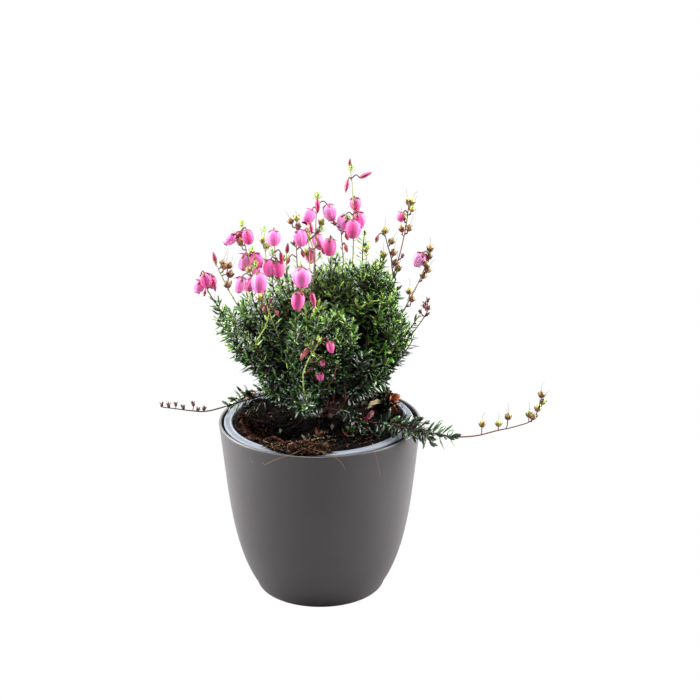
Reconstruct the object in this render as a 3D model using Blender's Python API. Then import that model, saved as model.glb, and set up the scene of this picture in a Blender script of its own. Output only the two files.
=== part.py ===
"""
St Dabeoc's heath, a small evergreen shrub in bloom, in its nursery pot inside a plain round cachepot.

The cachepot stands on its flat underside at the origin, +Z up, and the plant's face looks along -Y.
The heath is a fan of woody shoots from one root crown. Each bough carries a mass of leafy growth,
upright flower spikes rise out of the masses, and two long shoots lie out over the rim, left and right.
Every length below is in millimetres and every angle in degrees; MM turns millimetres into metres.
"""
import math

import bmesh
import bpy
import numpy as np
from mathutils import Vector, noise
from mathutils.bvhtree import BVHTree

MM = 0.001
GAP = 0.35          # air left between two solids that touch on the real plant

# Cachepot: thin matt plastic, its wall curving in to a small foot
POT_RIM_RADIUS = 65.0
POT_HEIGHT = 114.8
POT_FOOT_RADIUS = 38.0
POT_FOOT_FILLET = 4.2
POT_UPPER_RUN = 36.0        # how far down the wall stays nearly straight
POT_UPPER_SLOPE = 0.13
POT_LOWER_RUN = 27.0        # how far up from the foot the belly swells
POT_LOWER_SLOPE = 0.64
POT_WALL = 1.8
POT_FLOOR = 3.0
POT_SIDES = 36
POT_WALL_STEPS = 9

# Nursery pot: thin grey plastic with a rolled lip, wedged where the cachepot narrows
INNER_RIM_RADIUS = 60.9
INNER_RIM_HEIGHT = 115.6
INNER_LIP_WIDTH = 5.5
INNER_LIP_DROP = 7.0
INNER_WALL = 1.3
INNER_FOOT_RADIUS = 42.0
INNER_FOOT_HEIGHT = 8.1
INNER_LEAN = (-0.7, -1.2)   # how far the rim sits off the cachepot's centre line, in X and Y
INNER_SIDES = 36

# Soil: peat, heaped at the front rim and hollow to the left of the root crown
SOIL_LEVEL = 109.5
SOIL_FLOOR = 14.0
SOIL_RAYS = 28
SOIL_SEAT_RADIUS = 9.0      # level seat under the root crown
SOIL_SIDE_GAP = 0.65
SOIL_CRUMB_SIZE = 7.0
SOIL_CRUMB_HEIGHT = 1.3
SOIL_SWELLS = (             # centre X, centre Y, width and rise of each swelling or hollow
    (3.0, 16.0, 16.0, 2.5),
    (-24.0, -14.0, 14.0, -7.0),
    (-12.0, -50.0, 13.0, 3.6),
    (36.0, 36.0, 12.0, 2.5),
)

# Root crown: the short woody stem at the plant's foot, leaning a little to the front
STEM_FOOT = Vector((3.0, 16.0, 112.0))
STEM_RISE = 9.0
STEM_FLARE = 7.0
STEM_WAIST = 4.0
STEM_HEAD = 5.0
STEM_LEAN = (-0.6, -0.8)
STEM_SIDES = 14

BOUGH_BASE = 1.1
BOUGH_TIP = 0.7
BOUGH_STEPS = 7
BOUGH_BOW = 12.0            # a bough leaves this much flatter than the line to its mass, then turns up

# Foliage masses: compass and lean of the line from the root crown, distance to the centre, half length
# along that line, half width across it, compass at which the bough leaves the root crown, and its tier
FOLIAGE = {
    "left": (199, 41, 80, 24, 16, 196, "low"),
    "left_low": (216, 53, 46, 18, 17, 232, "low"),
    "left_top": (198, 21, 64, 19, 18, 205, "high"),
    "front": (268, 33, 66, 21, 19, 282, "high"),
    "front_low": (262, 56, 41, 17, 16, 266, "low"),
    "centre_top": (311, 7, 78, 24, 16, 311, "top"),
    "right_top": (344, 24, 84, 26, 16, 352, "high"),
    "right": (342, 43, 71, 20, 15, 346, "low"),
    "right_low": (325, 54, 49, 19, 16, 306, "low"),
    "back_left": (150, 40, 56, 21, 19, 126, "low"),
    "back": (80, 27, 64, 22, 20, 80, "high"),
    "back_right": (30, 40, 64, 22, 18, 28, "low"),
}
TIER_LEAN = {"low": 72, "high": 36, "top": 0}
FOLIAGE_FLOOR = 127.0       # no leafy mass hangs lower than this over the soil
FOLIAGE_ROUGHNESS = 0.20

# Flower spikes: compass, lean and length of the line from the root crown to the tip, then the length
# and half width of the flowering stretch below the tip
SPIKES = {
    "tall": (325, 7, 163, 46, 6.0),
    "tall_left": (250, 4, 139, 34, 6.0),
    "centre": (286, 9, 117, 24, 5.0),
    "centre_left": (232, 11, 132, 36, 5.5),
    "left_inner": (219, 18, 124, 26, 5.0),
    "left_middle": (195, 18, 123, 30, 5.5),
    "left_high": (196, 23, 133, 34, 6.0),
    "left_outer": (190, 34, 126, 24, 5.0),
    "left_end": (193, 41, 120, 26, 6.0),
    "left_front": (215, 27, 121, 30, 6.0),
    "front_left": (229, 31, 112, 26, 6.0),
    "front": (256, 26, 118, 26, 6.5),
    "right_tall": (345, 22, 147, 58, 4.0),
    "right_thin": (338, 21, 115, 24, 3.0),
    "right_outer": (348, 33, 126, 44, 4.5),
    "right_low": (340, 45, 99, 16, 4.0),
    "back": (110, 14, 116, 26, 5.5),
    "back_left": (160, 27, 108, 26, 5.5),
    "back_right": (48, 24, 104, 24, 5.0),
}
SPIKE_BOW = 9.0             # a spike starts this much flatter than its tip's line, then turns up
SPIKE_STEM = 0.55
SPIKE_STEPS = 11
SPIKE_ROOM = 2.0            # air kept between the line half way to a neighbour and the flowering stretch
SPIKE_START = 0.45          # where on its line a spike may start, inside its mass

# The low front stalk climbs before the crown in an S: its points from the tip down into the lowest mass,
# then the length and half width of its flowering stretch
FRONT_STALK = [(0.2, -44.0, 182.9), (-0.3, -44.5, 179.8), (-5.0, -44.5, 172.2), (-8.7, -44.0, 163.8),
               (-9.4, -42.0, 159.0), (-8.6, -38.0, 144.0), (-5.0, -27.0, 137.0)]
FRONT_BLOOM = (18.0, 2.4)

# The two low shoots: bare stem, leafy stretch and flowering end, each as points and a half width
RIGHT_STEM = [(6.3, 11.6, 115.6), (16, 1, 115.2), (25, -7, 116.0), (33, -14, 117.0)]
RIGHT_LEAFY = [(33.3, -14.2, 117.1), (44, -25, 121.0), (56, -33, 121.8), (69, -37, 120.0), (83, -38, 117.3)]
RIGHT_SPIKE = [(83.4, -38, 117.3), (97, -38, 118), (112, -35, 120.6), (124, -33, 122.8), (134, -31, 127),
               (138.5, -30, 140)]
LEFT_STEM = [(-3.3, 17.0, 119.6), (-12, 16.5, 122.5), (-22, 10.5, 127.5)]
LEFT_LEAFY = [(-22.3, 10.3, 127.6), (-33, 7, 129), (-43, 4, 127.5), (-60, 0, 123.4)]
LEFT_SPIKE = [(-60.4, 0, 123.3), (-72, 0, 120), (-82, 0, 120), (-101.5, 0, 122.8)]
RUNNER_STEM = 1.0
RUNNER_LEAFY = 4.6
RUNNER_SPIKE = 3.6
RUNNER_TWIG = 0.7


def clear_scene():
    """Start from an empty scene."""
    for found in list(bpy.data.objects):
        bpy.data.objects.remove(found, do_unlink=True)


def finish(name, colour, roughness):
    """A plain material in the sub-part's own colour."""
    made = bpy.data.materials.new(name)
    made.use_nodes = True
    shader = made.node_tree.nodes["Principled BSDF"]
    shader.inputs["Base Color"].default_value = (*colour, 1.0)
    shader.inputs["Roughness"].default_value = roughness
    shader.inputs["Metallic"].default_value = 0.0
    return made


def place(name, data, material):
    """Put a mesh or curve in the scene as one named sub-part."""
    made = bpy.data.objects.new(name, data)
    made.data.materials.append(material)
    bpy.context.scene.collection.objects.link(made)
    return made


def faceted(name, points, faces, material):
    """A smooth-shaded mesh object from points in millimetres."""
    mesh = bpy.data.meshes.new(name)
    mesh.from_pydata([tuple(MM * c for c in p) for p in points], [], faces)
    mesh.shade_smooth()
    mesh.set_sharp_from_angle(angle=math.radians(40))
    return place(name, mesh, material)


def turned(name, profile, sides, material):
    """A solid turned about +Z from (radius, height) points, run from the axis down the outside."""
    points = [(r, 0.0, z) for r, z in profile]
    edges = [(i, i + 1) for i in range(len(points) - 1)]
    mesh = bpy.data.meshes.new(name)
    mesh.from_pydata([tuple(MM * c for c in p) for p in points], edges, [])
    made = place(name, mesh, material)
    screw = made.modifiers.new("turn", "SCREW")
    screw.axis = "Z"
    screw.steps = sides
    screw.render_steps = sides
    screw.use_merge_vertices = True
    screw.merge_threshold = 0.00001
    screw.use_smooth_shade = True
    return made


def limb(name, path, radii, material, resolution=1):
    """A round limb along a smooth path, with its own radius at each point."""
    curve = bpy.data.curves.new(name, "CURVE")
    curve.dimensions = "3D"
    curve.bevel_depth = MM
    curve.bevel_resolution = resolution
    curve.use_fill_caps = True
    spline = curve.splines.new("POLY")
    spline.points.add(len(path) - 1)
    for point, where, radius in zip(spline.points, path, radii):
        point.co = (*(MM * c for c in where), 1.0)
        point.radius = radius
    spline.use_smooth = True
    return place(name, curve, material)


def bend(points, steps):
    """A smooth curve through the given points, as evenly spread points (Catmull-Rom)."""
    ends = [2 * points[0] - points[1], *points, 2 * points[-1] - points[-2]]
    out = []
    for i in range(len(points) - 1):
        a, b, c, d = ends[i:i + 4]
        for k in range(steps):
            t = k / steps
            out.append(0.5 * (2 * b + (c - a) * t + (2 * a - 5 * b + 4 * c - d) * t * t
                              + (3 * b - a - 3 * c + d) * t ** 3))
    return out + [points[-1]]


def bezier(a, b, c, steps):
    """A curve from a to c that is drawn towards b."""
    return [(1 - t) ** 2 * a + 2 * t * (1 - t) * b + t * t * c for t in (k / steps for k in range(steps + 1))]


def compass(heading, lean):
    """Unit vector at a compass angle from +X, leaning away from upright."""
    h = math.radians(heading)
    v = math.radians(lean)
    return Vector((math.sin(v) * math.cos(h), math.sin(v) * math.sin(h), math.cos(v)))


def pot_outside():
    """Cachepot's outer wall from rim to underside, as (radius, height) points."""
    top = np.array((POT_RIM_RADIUS, POT_HEIGHT - 1.0))
    foot = np.array((POT_FOOT_RADIUS + POT_FOOT_FILLET, POT_FOOT_FILLET))
    upper = top - POT_UPPER_RUN * np.array((POT_UPPER_SLOPE, 1.0))
    lower = foot + POT_LOWER_RUN * np.array((POT_LOWER_SLOPE, 1.0))
    wall = []
    for t in np.linspace(0, 1, POT_WALL_STEPS):
        s = 1 - t
        wall.append(s ** 3 * top + 3 * t * s ** 2 * upper + 3 * t * t * s * lower + t ** 3 * foot)
    for turn in (30, 60, 90):
        a = math.radians(turn)
        radius = POT_FOOT_RADIUS + POT_FOOT_FILLET * math.cos(a)
        wall.append(np.array((radius, POT_FOOT_FILLET * (1 - math.sin(a)))))
    return wall


def pot_inside():
    """Cachepot's inner wall from rim to floor: the outer wall moved in by the wall's thickness."""
    outside = pot_outside()
    inside = []
    for i in range(len(outside)):
        run = outside[min(i + 1, len(outside) - 1)] - outside[max(i - 1, 0)]
        inward = np.array((run[1], -run[0])) / np.hypot(*run)
        point = outside[i] + POT_WALL * inward
        if point[1] > POT_FLOOR + 1.0:
            inside.append(point)
    inside.append(np.array((inside[-1][0] - 2.0, POT_FLOOR)))
    return inside


def cachepot():
    """The outer pot, open at the top and standing flat."""
    inside = [tuple(p) for p in pot_inside()]
    outside = [tuple(p) for p in pot_outside()]
    crest = (POT_RIM_RADIUS - POT_WALL / 2, POT_HEIGHT)
    profile = [(0.0, POT_FLOOR), *reversed(inside), crest, *outside, (0.0, 0.0)]
    return turned("outer_pot", profile, POT_SIDES, finish("outer_pot", (0.055, 0.052, 0.058), 0.55))


def nursery_pot():
    """The inner pot, tipped a little so that its rim lies to the front left in the cachepot."""
    mouth = INNER_RIM_RADIUS - INNER_LIP_WIDTH
    tall = INNER_RIM_HEIGHT - INNER_FOOT_HEIGHT
    profile = [
        (0.0, INNER_WALL),
        (INNER_FOOT_RADIUS - INNER_WALL - 1.0, INNER_WALL),
        (INNER_FOOT_RADIUS - INNER_WALL + 0.3, INNER_WALL + 1.5),
        (mouth, tall - 2.0),
        (mouth + 1.0, tall - 0.4),
        (mouth + 2.2, tall),
        (INNER_RIM_RADIUS - 1.2, tall - 0.2),
        (INNER_RIM_RADIUS, tall - 1.4),
        (INNER_RIM_RADIUS - 0.3, tall - INNER_LIP_DROP),
        (INNER_RIM_RADIUS - 1.5, tall - INNER_LIP_DROP),
        (INNER_RIM_RADIUS - 1.8, tall - INNER_WALL - 1.2),
        (mouth + INNER_WALL + 0.2, tall - INNER_WALL - 1.6),
        (INNER_FOOT_RADIUS + 0.2, 1.6),
        (INNER_FOOT_RADIUS - 1.4, 0.0),
        (0.0, 0.0),
    ]
    pot = turned("inner_pot", profile, INNER_SIDES, finish("inner_pot", (0.46, 0.50, 0.56), 0.40))
    pot.location = (0.0, 0.0, MM * INNER_FOOT_HEIGHT)
    pot.rotation_euler = (-math.atan(INNER_LEAN[1] / tall), math.atan(INNER_LEAN[0] / tall), 0.0)
    return pot


def inner_radius(height):
    """Clear radius of the nursery pot at a height, and where its centre line is."""
    share = (height - INNER_FOOT_HEIGHT) / (INNER_RIM_HEIGHT - 2.0 - INNER_FOOT_HEIGHT)
    foot = INNER_FOOT_RADIUS - INNER_WALL
    radius = foot + (INNER_RIM_RADIUS - INNER_LIP_WIDTH - foot) * share
    return radius, Vector((INNER_LEAN[0] * share, INNER_LEAN[1] * share, 0.0))


def soil_top(x, y):
    """Height of the peat: a level bed with a mound, a hollow, a front heap and crumbs."""
    height = SOIL_LEVEL + SOIL_CRUMB_HEIGHT * noise.noise(Vector((x, y, 3.0)) / SOIL_CRUMB_SIZE)
    for centre_x, centre_y, width, rise in SOIL_SWELLS:
        height += rise * math.exp(-((x - centre_x) ** 2 + (y - centre_y) ** 2) / (2 * width ** 2))
    return height


def soil():
    """The root ball: peat that fills the nursery pot, with a level seat under the stem."""
    shares = (0.30, 0.52, 0.72, 0.88, 1.0)
    points = [(STEM_FOOT.x, STEM_FOOT.y, STEM_FOOT.z)]
    edge_radius, edge_centre = inner_radius(SOIL_LEVEL)
    edge_radius -= SOIL_SIDE_GAP
    for ring in range(len(shares) + 1):
        for k in range(SOIL_RAYS):
            ray = compass(360 * k / SOIL_RAYS, 90)
            start = Vector((STEM_FOOT.x, STEM_FOOT.y, 0.0)) - edge_centre
            along = start.dot(ray)
            reach = -along + math.sqrt(along ** 2 - start.length_squared + edge_radius ** 2)
            outer = SOIL_SEAT_RADIUS + (reach - SOIL_SEAT_RADIUS) * shares[ring - 1]
            far = SOIL_SEAT_RADIUS if ring == 0 else outer
            x = STEM_FOOT.x + ray.x * far
            y = STEM_FOOT.y + ray.y * far
            z = STEM_FOOT.z if ring == 0 else soil_top(x, y)
            points.append((x, y, z))
    last = len(points) - SOIL_RAYS
    floor_radius, floor_centre = inner_radius(SOIL_FLOOR)
    floor_radius -= SOIL_SIDE_GAP
    rim = [Vector(points[last + k]) for k in range(SOIL_RAYS)]
    for edge in rim:
        out = Vector((edge.x, edge.y, 0.0)) - edge_centre
        points.append(tuple(floor_centre + out.normalized() * floor_radius + Vector((0, 0, SOIL_FLOOR))))
    points.append((floor_centre.x, floor_centre.y, SOIL_FLOOR))
    faces = []
    rings = len(shares) + 2
    for k in range(SOIL_RAYS):
        following = (k + 1) % SOIL_RAYS
        faces.append((0, 1 + k, 1 + following))
        for ring in range(rings - 1):
            a = 1 + ring * SOIL_RAYS
            b = a + SOIL_RAYS
            faces.append((a + k, b + k, b + following, a + following))
        base = 1 + (rings - 1) * SOIL_RAYS
        faces.append((len(points) - 1, base + following, base + k))
    return faceted("soil", points, faces, finish("soil", (0.035, 0.022, 0.015), 0.95))


def stem_head():
    """Centre of the swollen head from which the boughs leave."""
    return STEM_FOOT + Vector((STEM_LEAN[0], STEM_LEAN[1], STEM_RISE))


def stem():
    """The root crown: flared at the soil, cut flat there, waisted, and domed at the head."""
    steps = [(0.0, STEM_FLARE), (0.12, STEM_FLARE * 0.8), (0.3, STEM_WAIST * 1.1), (0.55, STEM_WAIST),
             (0.8, STEM_HEAD * 0.93), (1.0, STEM_HEAD), (1.28, STEM_HEAD * 0.84), (1.46, STEM_HEAD * 0.5)]
    foot = STEM_FOOT + Vector((0, 0, GAP))
    rise = stem_head() - foot
    points = [tuple(foot)]
    for share, radius in steps:
        for k in range(STEM_SIDES):
            knobbly = radius * (1 + 0.10 * math.sin(3 * 2 * math.pi * k / STEM_SIDES + 4 * share))
            points.append(tuple(foot + rise * share + compass(360 * k / STEM_SIDES, 90) * knobbly))
    points.append(tuple(foot + rise * (1.0 + STEM_HEAD / STEM_RISE)))
    faces = []
    for k in range(STEM_SIDES):
        following = (k + 1) % STEM_SIDES
        faces.append((0, 1 + following, 1 + k))
        for ring in range(len(steps) - 1):
            a = 1 + ring * STEM_SIDES
            b = a + STEM_SIDES
            faces.append((a + k, a + following, b + following, b + k))
        top = 1 + (len(steps) - 1) * STEM_SIDES
        faces.append((len(points) - 1, top + k, top + following))
    return faceted("stem", points, faces, finish("stem", (0.16, 0.075, 0.05), 0.8))


def foliage_points():
    """Each mass as a ball of directions whose reach is an uneven ellipsoid, kept to its own side of
    the planes between it and its neighbours, off the soil and off the low left shoot."""
    crown = stem_head()
    centres = {n: crown + compass(row[0], row[1]) * row[2] for n, row in FOLIAGE.items()}
    masses = {}
    for seed, (name, (heading, lean, _, half_length, half_width, _, _)) in enumerate(FOLIAGE.items()):
        ball = bmesh.new()
        bmesh.ops.create_icosphere(ball, subdivisions=3, radius=1.0)
        axis = compass(heading, lean)
        centre = centres[name]
        points = []
        for vert in ball.verts:
            ray = vert.co.normalized()
            along = ray.dot(axis)
            reach = 1 / math.sqrt((along / half_length) ** 2 + (1 - along ** 2) / half_width ** 2)
            reach *= 1 + FOLIAGE_ROUGHNESS * noise.noise(ray * 2.4 + Vector((7.3 * seed, 0, 0)))
            for other, row in FOLIAGE.items():
                away = centres[other] - centre
                if other != name and ray.dot(away) > 0:
                    share = half_width / (half_width + row[4])
                    plane = share * away.length - GAP / 2
                    reach = min(reach, plane / ray.dot(away.normalized()))
            if ray.z < 0:
                reach = min(reach, (centre.z - FOLIAGE_FLOOR) / -ray.z)
            points.append(centre + ray * reach)
        faces = [tuple(v.index for v in face.verts) for face in ball.faces]
        ball.free()
        masses[name] = (points, faces)
    return masses


def ring(centre, way, radius, count=8):
    """Points round a limb's cross-section, and its middle."""
    side = way.orthogonal().normalized()
    other = way.cross(side).normalized()
    turns = [2 * math.pi * k / count for k in range(count)]
    return [centre] + [centre + (side * math.cos(a) + other * math.sin(a)) * radius for a in turns]


def nearest(trees, point):
    """Distance from a point to the nearest of the given solids."""
    return min(tree.find_nearest(point)[3] for tree in trees)


def run_until_touch(path, radii, trees, step=0.1):
    """Walk a limb along its path and stop it a hair short of the first solid that it meets."""
    kept = [path[0]]
    kept_radii = [radii[0]]
    for i in range(len(path) - 1):
        run = path[i + 1] - path[i]
        count = max(1, int(run.length / step))
        for k in range(1, count + 1):
            share = k / count
            here = path[i] + run * share
            radius = radii[i] + (radii[i + 1] - radii[i]) * share
            if min(nearest(trees, p) for p in ring(here, run.normalized(), radius)) < GAP:
                last = path[i] + run * ((k - 1) / count)
                if (last - kept[-1]).length < 1.0 and len(kept) > 1:
                    kept.pop()
                    kept_radii.pop()
                return kept + [last], kept_radii + [radius]
        kept.append(path[i + 1])
        kept_radii.append(radii[i + 1])
    return kept, kept_radii


def boughs(trees, bark):
    """One tapering limb for each mass, from the root crown's head to where it enters the mass."""
    head = stem_head()
    for name, (heading, lean, reach, _, _, leaving, tier) in FOLIAGE.items():
        way = compass(leaving, TIER_LEAN[tier])
        start = head + way * (STEM_HEAD * 1.1 + GAP)
        target = head + compass(heading, lean) * reach
        pull = head + compass(heading, lean + BOUGH_BOW * (tier != "top")) * reach * 0.45
        path = bezier(start, pull, target, BOUGH_STEPS)
        radii = [BOUGH_BASE + (BOUGH_TIP - BOUGH_BASE) * k / BOUGH_STEPS for k in range(BOUGH_STEPS + 1)]
        path, radii = run_until_touch(path, radii, trees)
        limb("bough_" + name, path, radii, bark)


def spike_paths():
    """The line of each flower spike, from its tip down into the mass that it grows from."""
    crown = stem_head()
    lines = {}
    for name, (heading, lean, reach, _, _) in SPIKES.items():
        tip = crown + compass(heading, lean) * reach
        foot = crown + compass(heading, lean + SPIKE_BOW) * reach * SPIKE_START
        pull = crown + compass(heading, lean + SPIKE_BOW * 0.55) * reach * 0.80
        lines[name] = bezier(tip, pull, foot, SPIKE_STEPS)
    lines["front_low"] = bend([Vector(p) for p in FRONT_STALK], 2)
    return lines


def spikes(trees, green):
    """Flower spikes: a thin stalk that widens over its flowering stretch, kept clear of the others."""
    lines = spike_paths()
    blooms = {name: row[3:] for name, row in SPIKES.items()}
    blooms["front_low"] = FRONT_BLOOM
    for name, (bloom, half_width) in blooms.items():
        path = lines[name]
        others = [p for other, line in lines.items() if other != name for p in line]
        radii = []
        walked = 0.0
        for i, here in enumerate(path):
            walked += (here - path[i - 1]).length if i else 0.0
            swell = math.sin(math.pi * min(1.0, walked / bloom)) ** 0.7
            room = min((here - p).length for p in others) / 2 - SPIKE_ROOM
            room = min(room, nearest(trees, here) - 2 * GAP)
            radii.append(max(SPIKE_STEM, min(half_width * swell, room)))
        path, radii = run_until_touch(path, radii, trees)
        limb("flower_spike_" + name, path, radii, green)


def runners(bark, leaf, green):
    """The two low shoots that lie out over the rim."""
    parts = [
        ("runner_right_stem", RIGHT_STEM, bark, RUNNER_STEM, RUNNER_TWIG, 0.0),
        ("foliage_runner_right", RIGHT_LEAFY, leaf, RUNNER_TWIG, RUNNER_TWIG, RUNNER_LEAFY),
        ("flower_spike_runner_right", RIGHT_SPIKE, green, RUNNER_TWIG, RUNNER_TWIG, RUNNER_SPIKE),
        ("runner_left_stem", LEFT_STEM, bark, RUNNER_STEM, RUNNER_TWIG, 0.0),
        ("foliage_runner_left", LEFT_LEAFY, leaf, RUNNER_TWIG, RUNNER_TWIG, RUNNER_LEAFY),
        ("flower_spike_runner_left", LEFT_SPIKE, green, RUNNER_TWIG, RUNNER_TWIG, RUNNER_SPIKE * 0.8),
    ]
    for name, points, material, first, last, swell in parts:
        path = bend([Vector(p) for p in points], 3)
        radii = []
        for k in range(len(path)):
            share = k / (len(path) - 1)
            blunt = math.sin(math.pi * share) ** 0.5
            bulge = blunt if "foliage" in name else math.sin(math.pi * share ** 1.6)
            uneven = 1 + 0.15 * noise.noise(Vector((k * 0.9, 0.0, 5.0)))
            radii.append(first + (last - first) * share + swell * max(0.0, bulge) * uneven)
        limb(name, path, radii, material, resolution=2 if "foliage" in name else 1)


def main():
    clear_scene()
    cachepot()
    nursery_pot()
    soil()
    stem()
    bark = finish("bark", (0.20, 0.09, 0.055), 0.75)
    leaf = finish("leaf", (0.045, 0.12, 0.03), 0.45)
    green = finish("flower_stalk", (0.62, 0.13, 0.36), 0.5)
    trees = []
    for name, (points, faces) in foliage_points().items():
        faceted("foliage_" + name, points, faces, leaf)
        trees.append(BVHTree.FromPolygons(points, faces))
    boughs(trees, bark)
    spikes(trees, green)
    runners(bark, leaf, green)


main()
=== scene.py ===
# St Dabeoc's heath in flower, in its nursery pot inside a dark cachepot.
# Lengths are in millimetres and angles in degrees; MM turns millimetres into metres.
import math

import bmesh
import bpy
import numpy as np
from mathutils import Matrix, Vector, noise
from mathutils.bvhtree import BVHTree


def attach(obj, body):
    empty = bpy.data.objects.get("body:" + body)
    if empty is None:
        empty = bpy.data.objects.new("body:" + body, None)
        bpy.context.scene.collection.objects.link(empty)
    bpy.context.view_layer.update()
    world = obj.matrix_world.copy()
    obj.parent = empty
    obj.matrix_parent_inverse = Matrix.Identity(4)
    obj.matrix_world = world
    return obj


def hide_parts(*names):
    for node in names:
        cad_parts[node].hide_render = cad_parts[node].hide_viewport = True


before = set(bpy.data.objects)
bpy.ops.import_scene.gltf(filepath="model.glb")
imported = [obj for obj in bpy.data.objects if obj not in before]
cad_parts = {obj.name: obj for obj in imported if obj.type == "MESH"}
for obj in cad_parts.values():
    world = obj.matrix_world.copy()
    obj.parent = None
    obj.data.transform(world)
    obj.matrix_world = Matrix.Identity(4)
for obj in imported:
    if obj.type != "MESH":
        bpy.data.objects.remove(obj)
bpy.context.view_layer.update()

# Camera, floor and lights
# The plant stands on a white sweep between two tall soft boxes, with a third high above it.
# The room is bright behind the plant and dark in front, so the pot's middle stays dark and its flanks pale.
# The camera sees the sweep and the backdrop as pure white, without a shadow.
MM = 0.001
LENS = 87.86
CAMERA_PLACE = (19.3, -1025.6, 512.6)
CAMERA_DROP = 18.9          # how far the camera looks down
FLOOR_HALF = 9000
FLOOR_GAP = 0.2             # the sweep lies this far below the cachepot's foot
WHITE = (1, 1, 1, 1)
PAPER_GREY = (0.28, 0.28, 0.28, 1)
ROOM_FRONT = 0.06           # brightness of the room behind the camera
ROOM_BACK = 3.0             # and of the room behind the plant
SOFT_BOXES = {      # place, the point it faces, its two sides and its brightness
    "left_box": ((-1150, 240, 520), (0, 0, 120), 900, 1300, 15.0),
    "right_box": ((1150, 240, 560), (0, 0, 120), 900, 1300, 15.0),
    "top_box": ((-170, -80, 1400), (0, 0, 150), 620, 480, 16.0),
}


def add(tree, kind, settings=None, **sockets):
    """A node of one kind, with its settings and with a value or a link for each socket it names."""
    made = tree.nodes.new(kind)
    for key, value in (settings or {}).items():
        setattr(made, key, value)
    for key, value in sockets.items():
        socket = made.inputs[key.replace("_", " ")]
        if isinstance(value, bpy.types.NodeSocket):
            tree.links.new(value, socket)
        else:
            socket.default_value = value
    return made


def tone(red, green, blue):
    """A colour given as it reads on a screen, 0 to 255, in the linear light that shaders take."""
    shares = [c / 255 for c in (red, green, blue)]
    return (*(s / 12.92 if s <= 0.04045 else ((s + 0.055) / 1.055) ** 2.4 for s in shares), 1.0)


def placed(name, data):
    """An object in the scene's own collection."""
    made = bpy.data.objects.new(name, data)
    bpy.context.scene.collection.objects.link(made)
    return made


def white_for_camera(tree, lit, white_kind, output_kind):
    """End a shader tree: the camera sees pure white where everything else gets the light of lit."""
    white = add(tree, white_kind, Color=WHITE, Strength=1.0)
    camera_ray = add(tree, "ShaderNodeLightPath").outputs["Is Camera Ray"]
    seen = add(tree, "ShaderNodeMixShader", Fac=camera_ray)
    tree.links.new(lit.outputs[0], seen.inputs[1])
    tree.links.new(white.outputs[0], seen.inputs[2])
    add(tree, output_kind, Surface=seen.outputs[0])


scene = bpy.context.scene
scene.view_settings.view_transform = "Standard"
camera = placed("camera", bpy.data.cameras.new("camera"))
camera.location = [c * MM for c in CAMERA_PLACE]
camera.rotation_euler = (math.radians(90 - CAMERA_DROP), 0, 0)
camera.data.lens = LENS
camera.data.clip_end = 100
scene.camera = camera

for name, (where, faced, wide, high, brightness) in SOFT_BOXES.items():
    lamp = bpy.data.lights.new(name, "AREA")
    lamp.shape = "RECTANGLE"
    lamp.size = wide * MM
    lamp.size_y = high * MM
    lamp.energy = brightness * math.pi * wide * high * MM * MM
    box = placed(name, lamp)
    box.location = [c * MM for c in where]
    box.rotation_euler = (Vector(faced) - Vector(where)).to_track_quat("-Z", "Y").to_euler()
    box.visible_camera = False

room = bpy.data.worlds.new("white_room")
room.use_nodes = True
room.node_tree.nodes.clear()
around = add(room.node_tree, "ShaderNodeTexCoord").outputs["Generated"]
depth = add(room.node_tree, "ShaderNodeSeparateXYZ", Vector=around).outputs["Y"]
room_light = add(room.node_tree, "ShaderNodeMapRange", Value=depth, From_Min=-0.25, From_Max=0.7,
                 To_Min=ROOM_FRONT, To_Max=ROOM_BACK).outputs[0]
lighting = add(room.node_tree, "ShaderNodeBackground", Color=WHITE, Strength=room_light)
white_for_camera(room.node_tree, lighting, "ShaderNodeBackground", "ShaderNodeOutputWorld")
scene.world = room

sweep = bpy.data.materials.new("white_sweep")
sweep.use_nodes = True
sweep.node_tree.nodes.clear()
paper = add(sweep.node_tree, "ShaderNodeBsdfDiffuse", Color=PAPER_GREY)
white_for_camera(sweep.node_tree, paper, "ShaderNodeEmission", "ShaderNodeOutputMaterial")
floor_mesh = bpy.data.meshes.new("floor")
corners = [(x * FLOOR_HALF * MM, y * FLOOR_HALF * MM, -FLOOR_GAP * MM)
           for x, y in ((-1, -1), (1, -1), (1, 1), (-1, 1))]
floor_mesh.from_pydata(corners, [], [(0, 1, 2, 3)])
floor_mesh.materials.append(sweep)
floor = placed("floor", floor_mesh)

# Cachepot
# A thin moulded pot with a matt anthracite lacquer that has a fine grain in it. Its wall curves in to a
# small flat foot, and its rim is a plain rounded edge.
POT_RIM_RADIUS = 65.0
POT_HEIGHT = 114.8
POT_FOOT_RADIUS = 38.0
POT_FOOT_FILLET = 4.2
POT_UPPER_RUN = 36.0
POT_UPPER_SLOPE = 0.13
POT_LOWER_RUN = 27.0
POT_LOWER_SLOPE = 0.64
POT_WALL = 1.8
POT_FLOOR = 3.0
POT_HEEL = 1.5              # radius inside, where the floor meets the wall
POT_COLUMNS = 160
MOTTLE_WEIGHT = 0.9         # of the slow mottle; the fine grain's is 1


def solid(name, points, triangles, finishes, which=None):
    """A smooth mesh object from points in millimetres and triangles, each with its finish."""
    points = np.asarray(points, dtype=np.float32) * MM
    triangles = np.asarray(triangles, dtype=np.int32)
    mesh = bpy.data.meshes.new(name)
    mesh.vertices.add(len(points))
    mesh.vertices.foreach_set("co", points.ravel())
    mesh.loops.add(triangles.size)
    mesh.loops.foreach_set("vertex_index", triangles.ravel())
    mesh.polygons.add(len(triangles))
    mesh.polygons.foreach_set("loop_start", np.arange(0, triangles.size, 3, dtype=np.int32))
    if which is not None:
        mesh.polygons.foreach_set("material_index", np.asarray(which, dtype=np.int32))
    mesh.update(calc_edges=True)
    mesh.shade_smooth()
    for finish in finishes:
        mesh.materials.append(finish)
    return placed(name, mesh)


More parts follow.
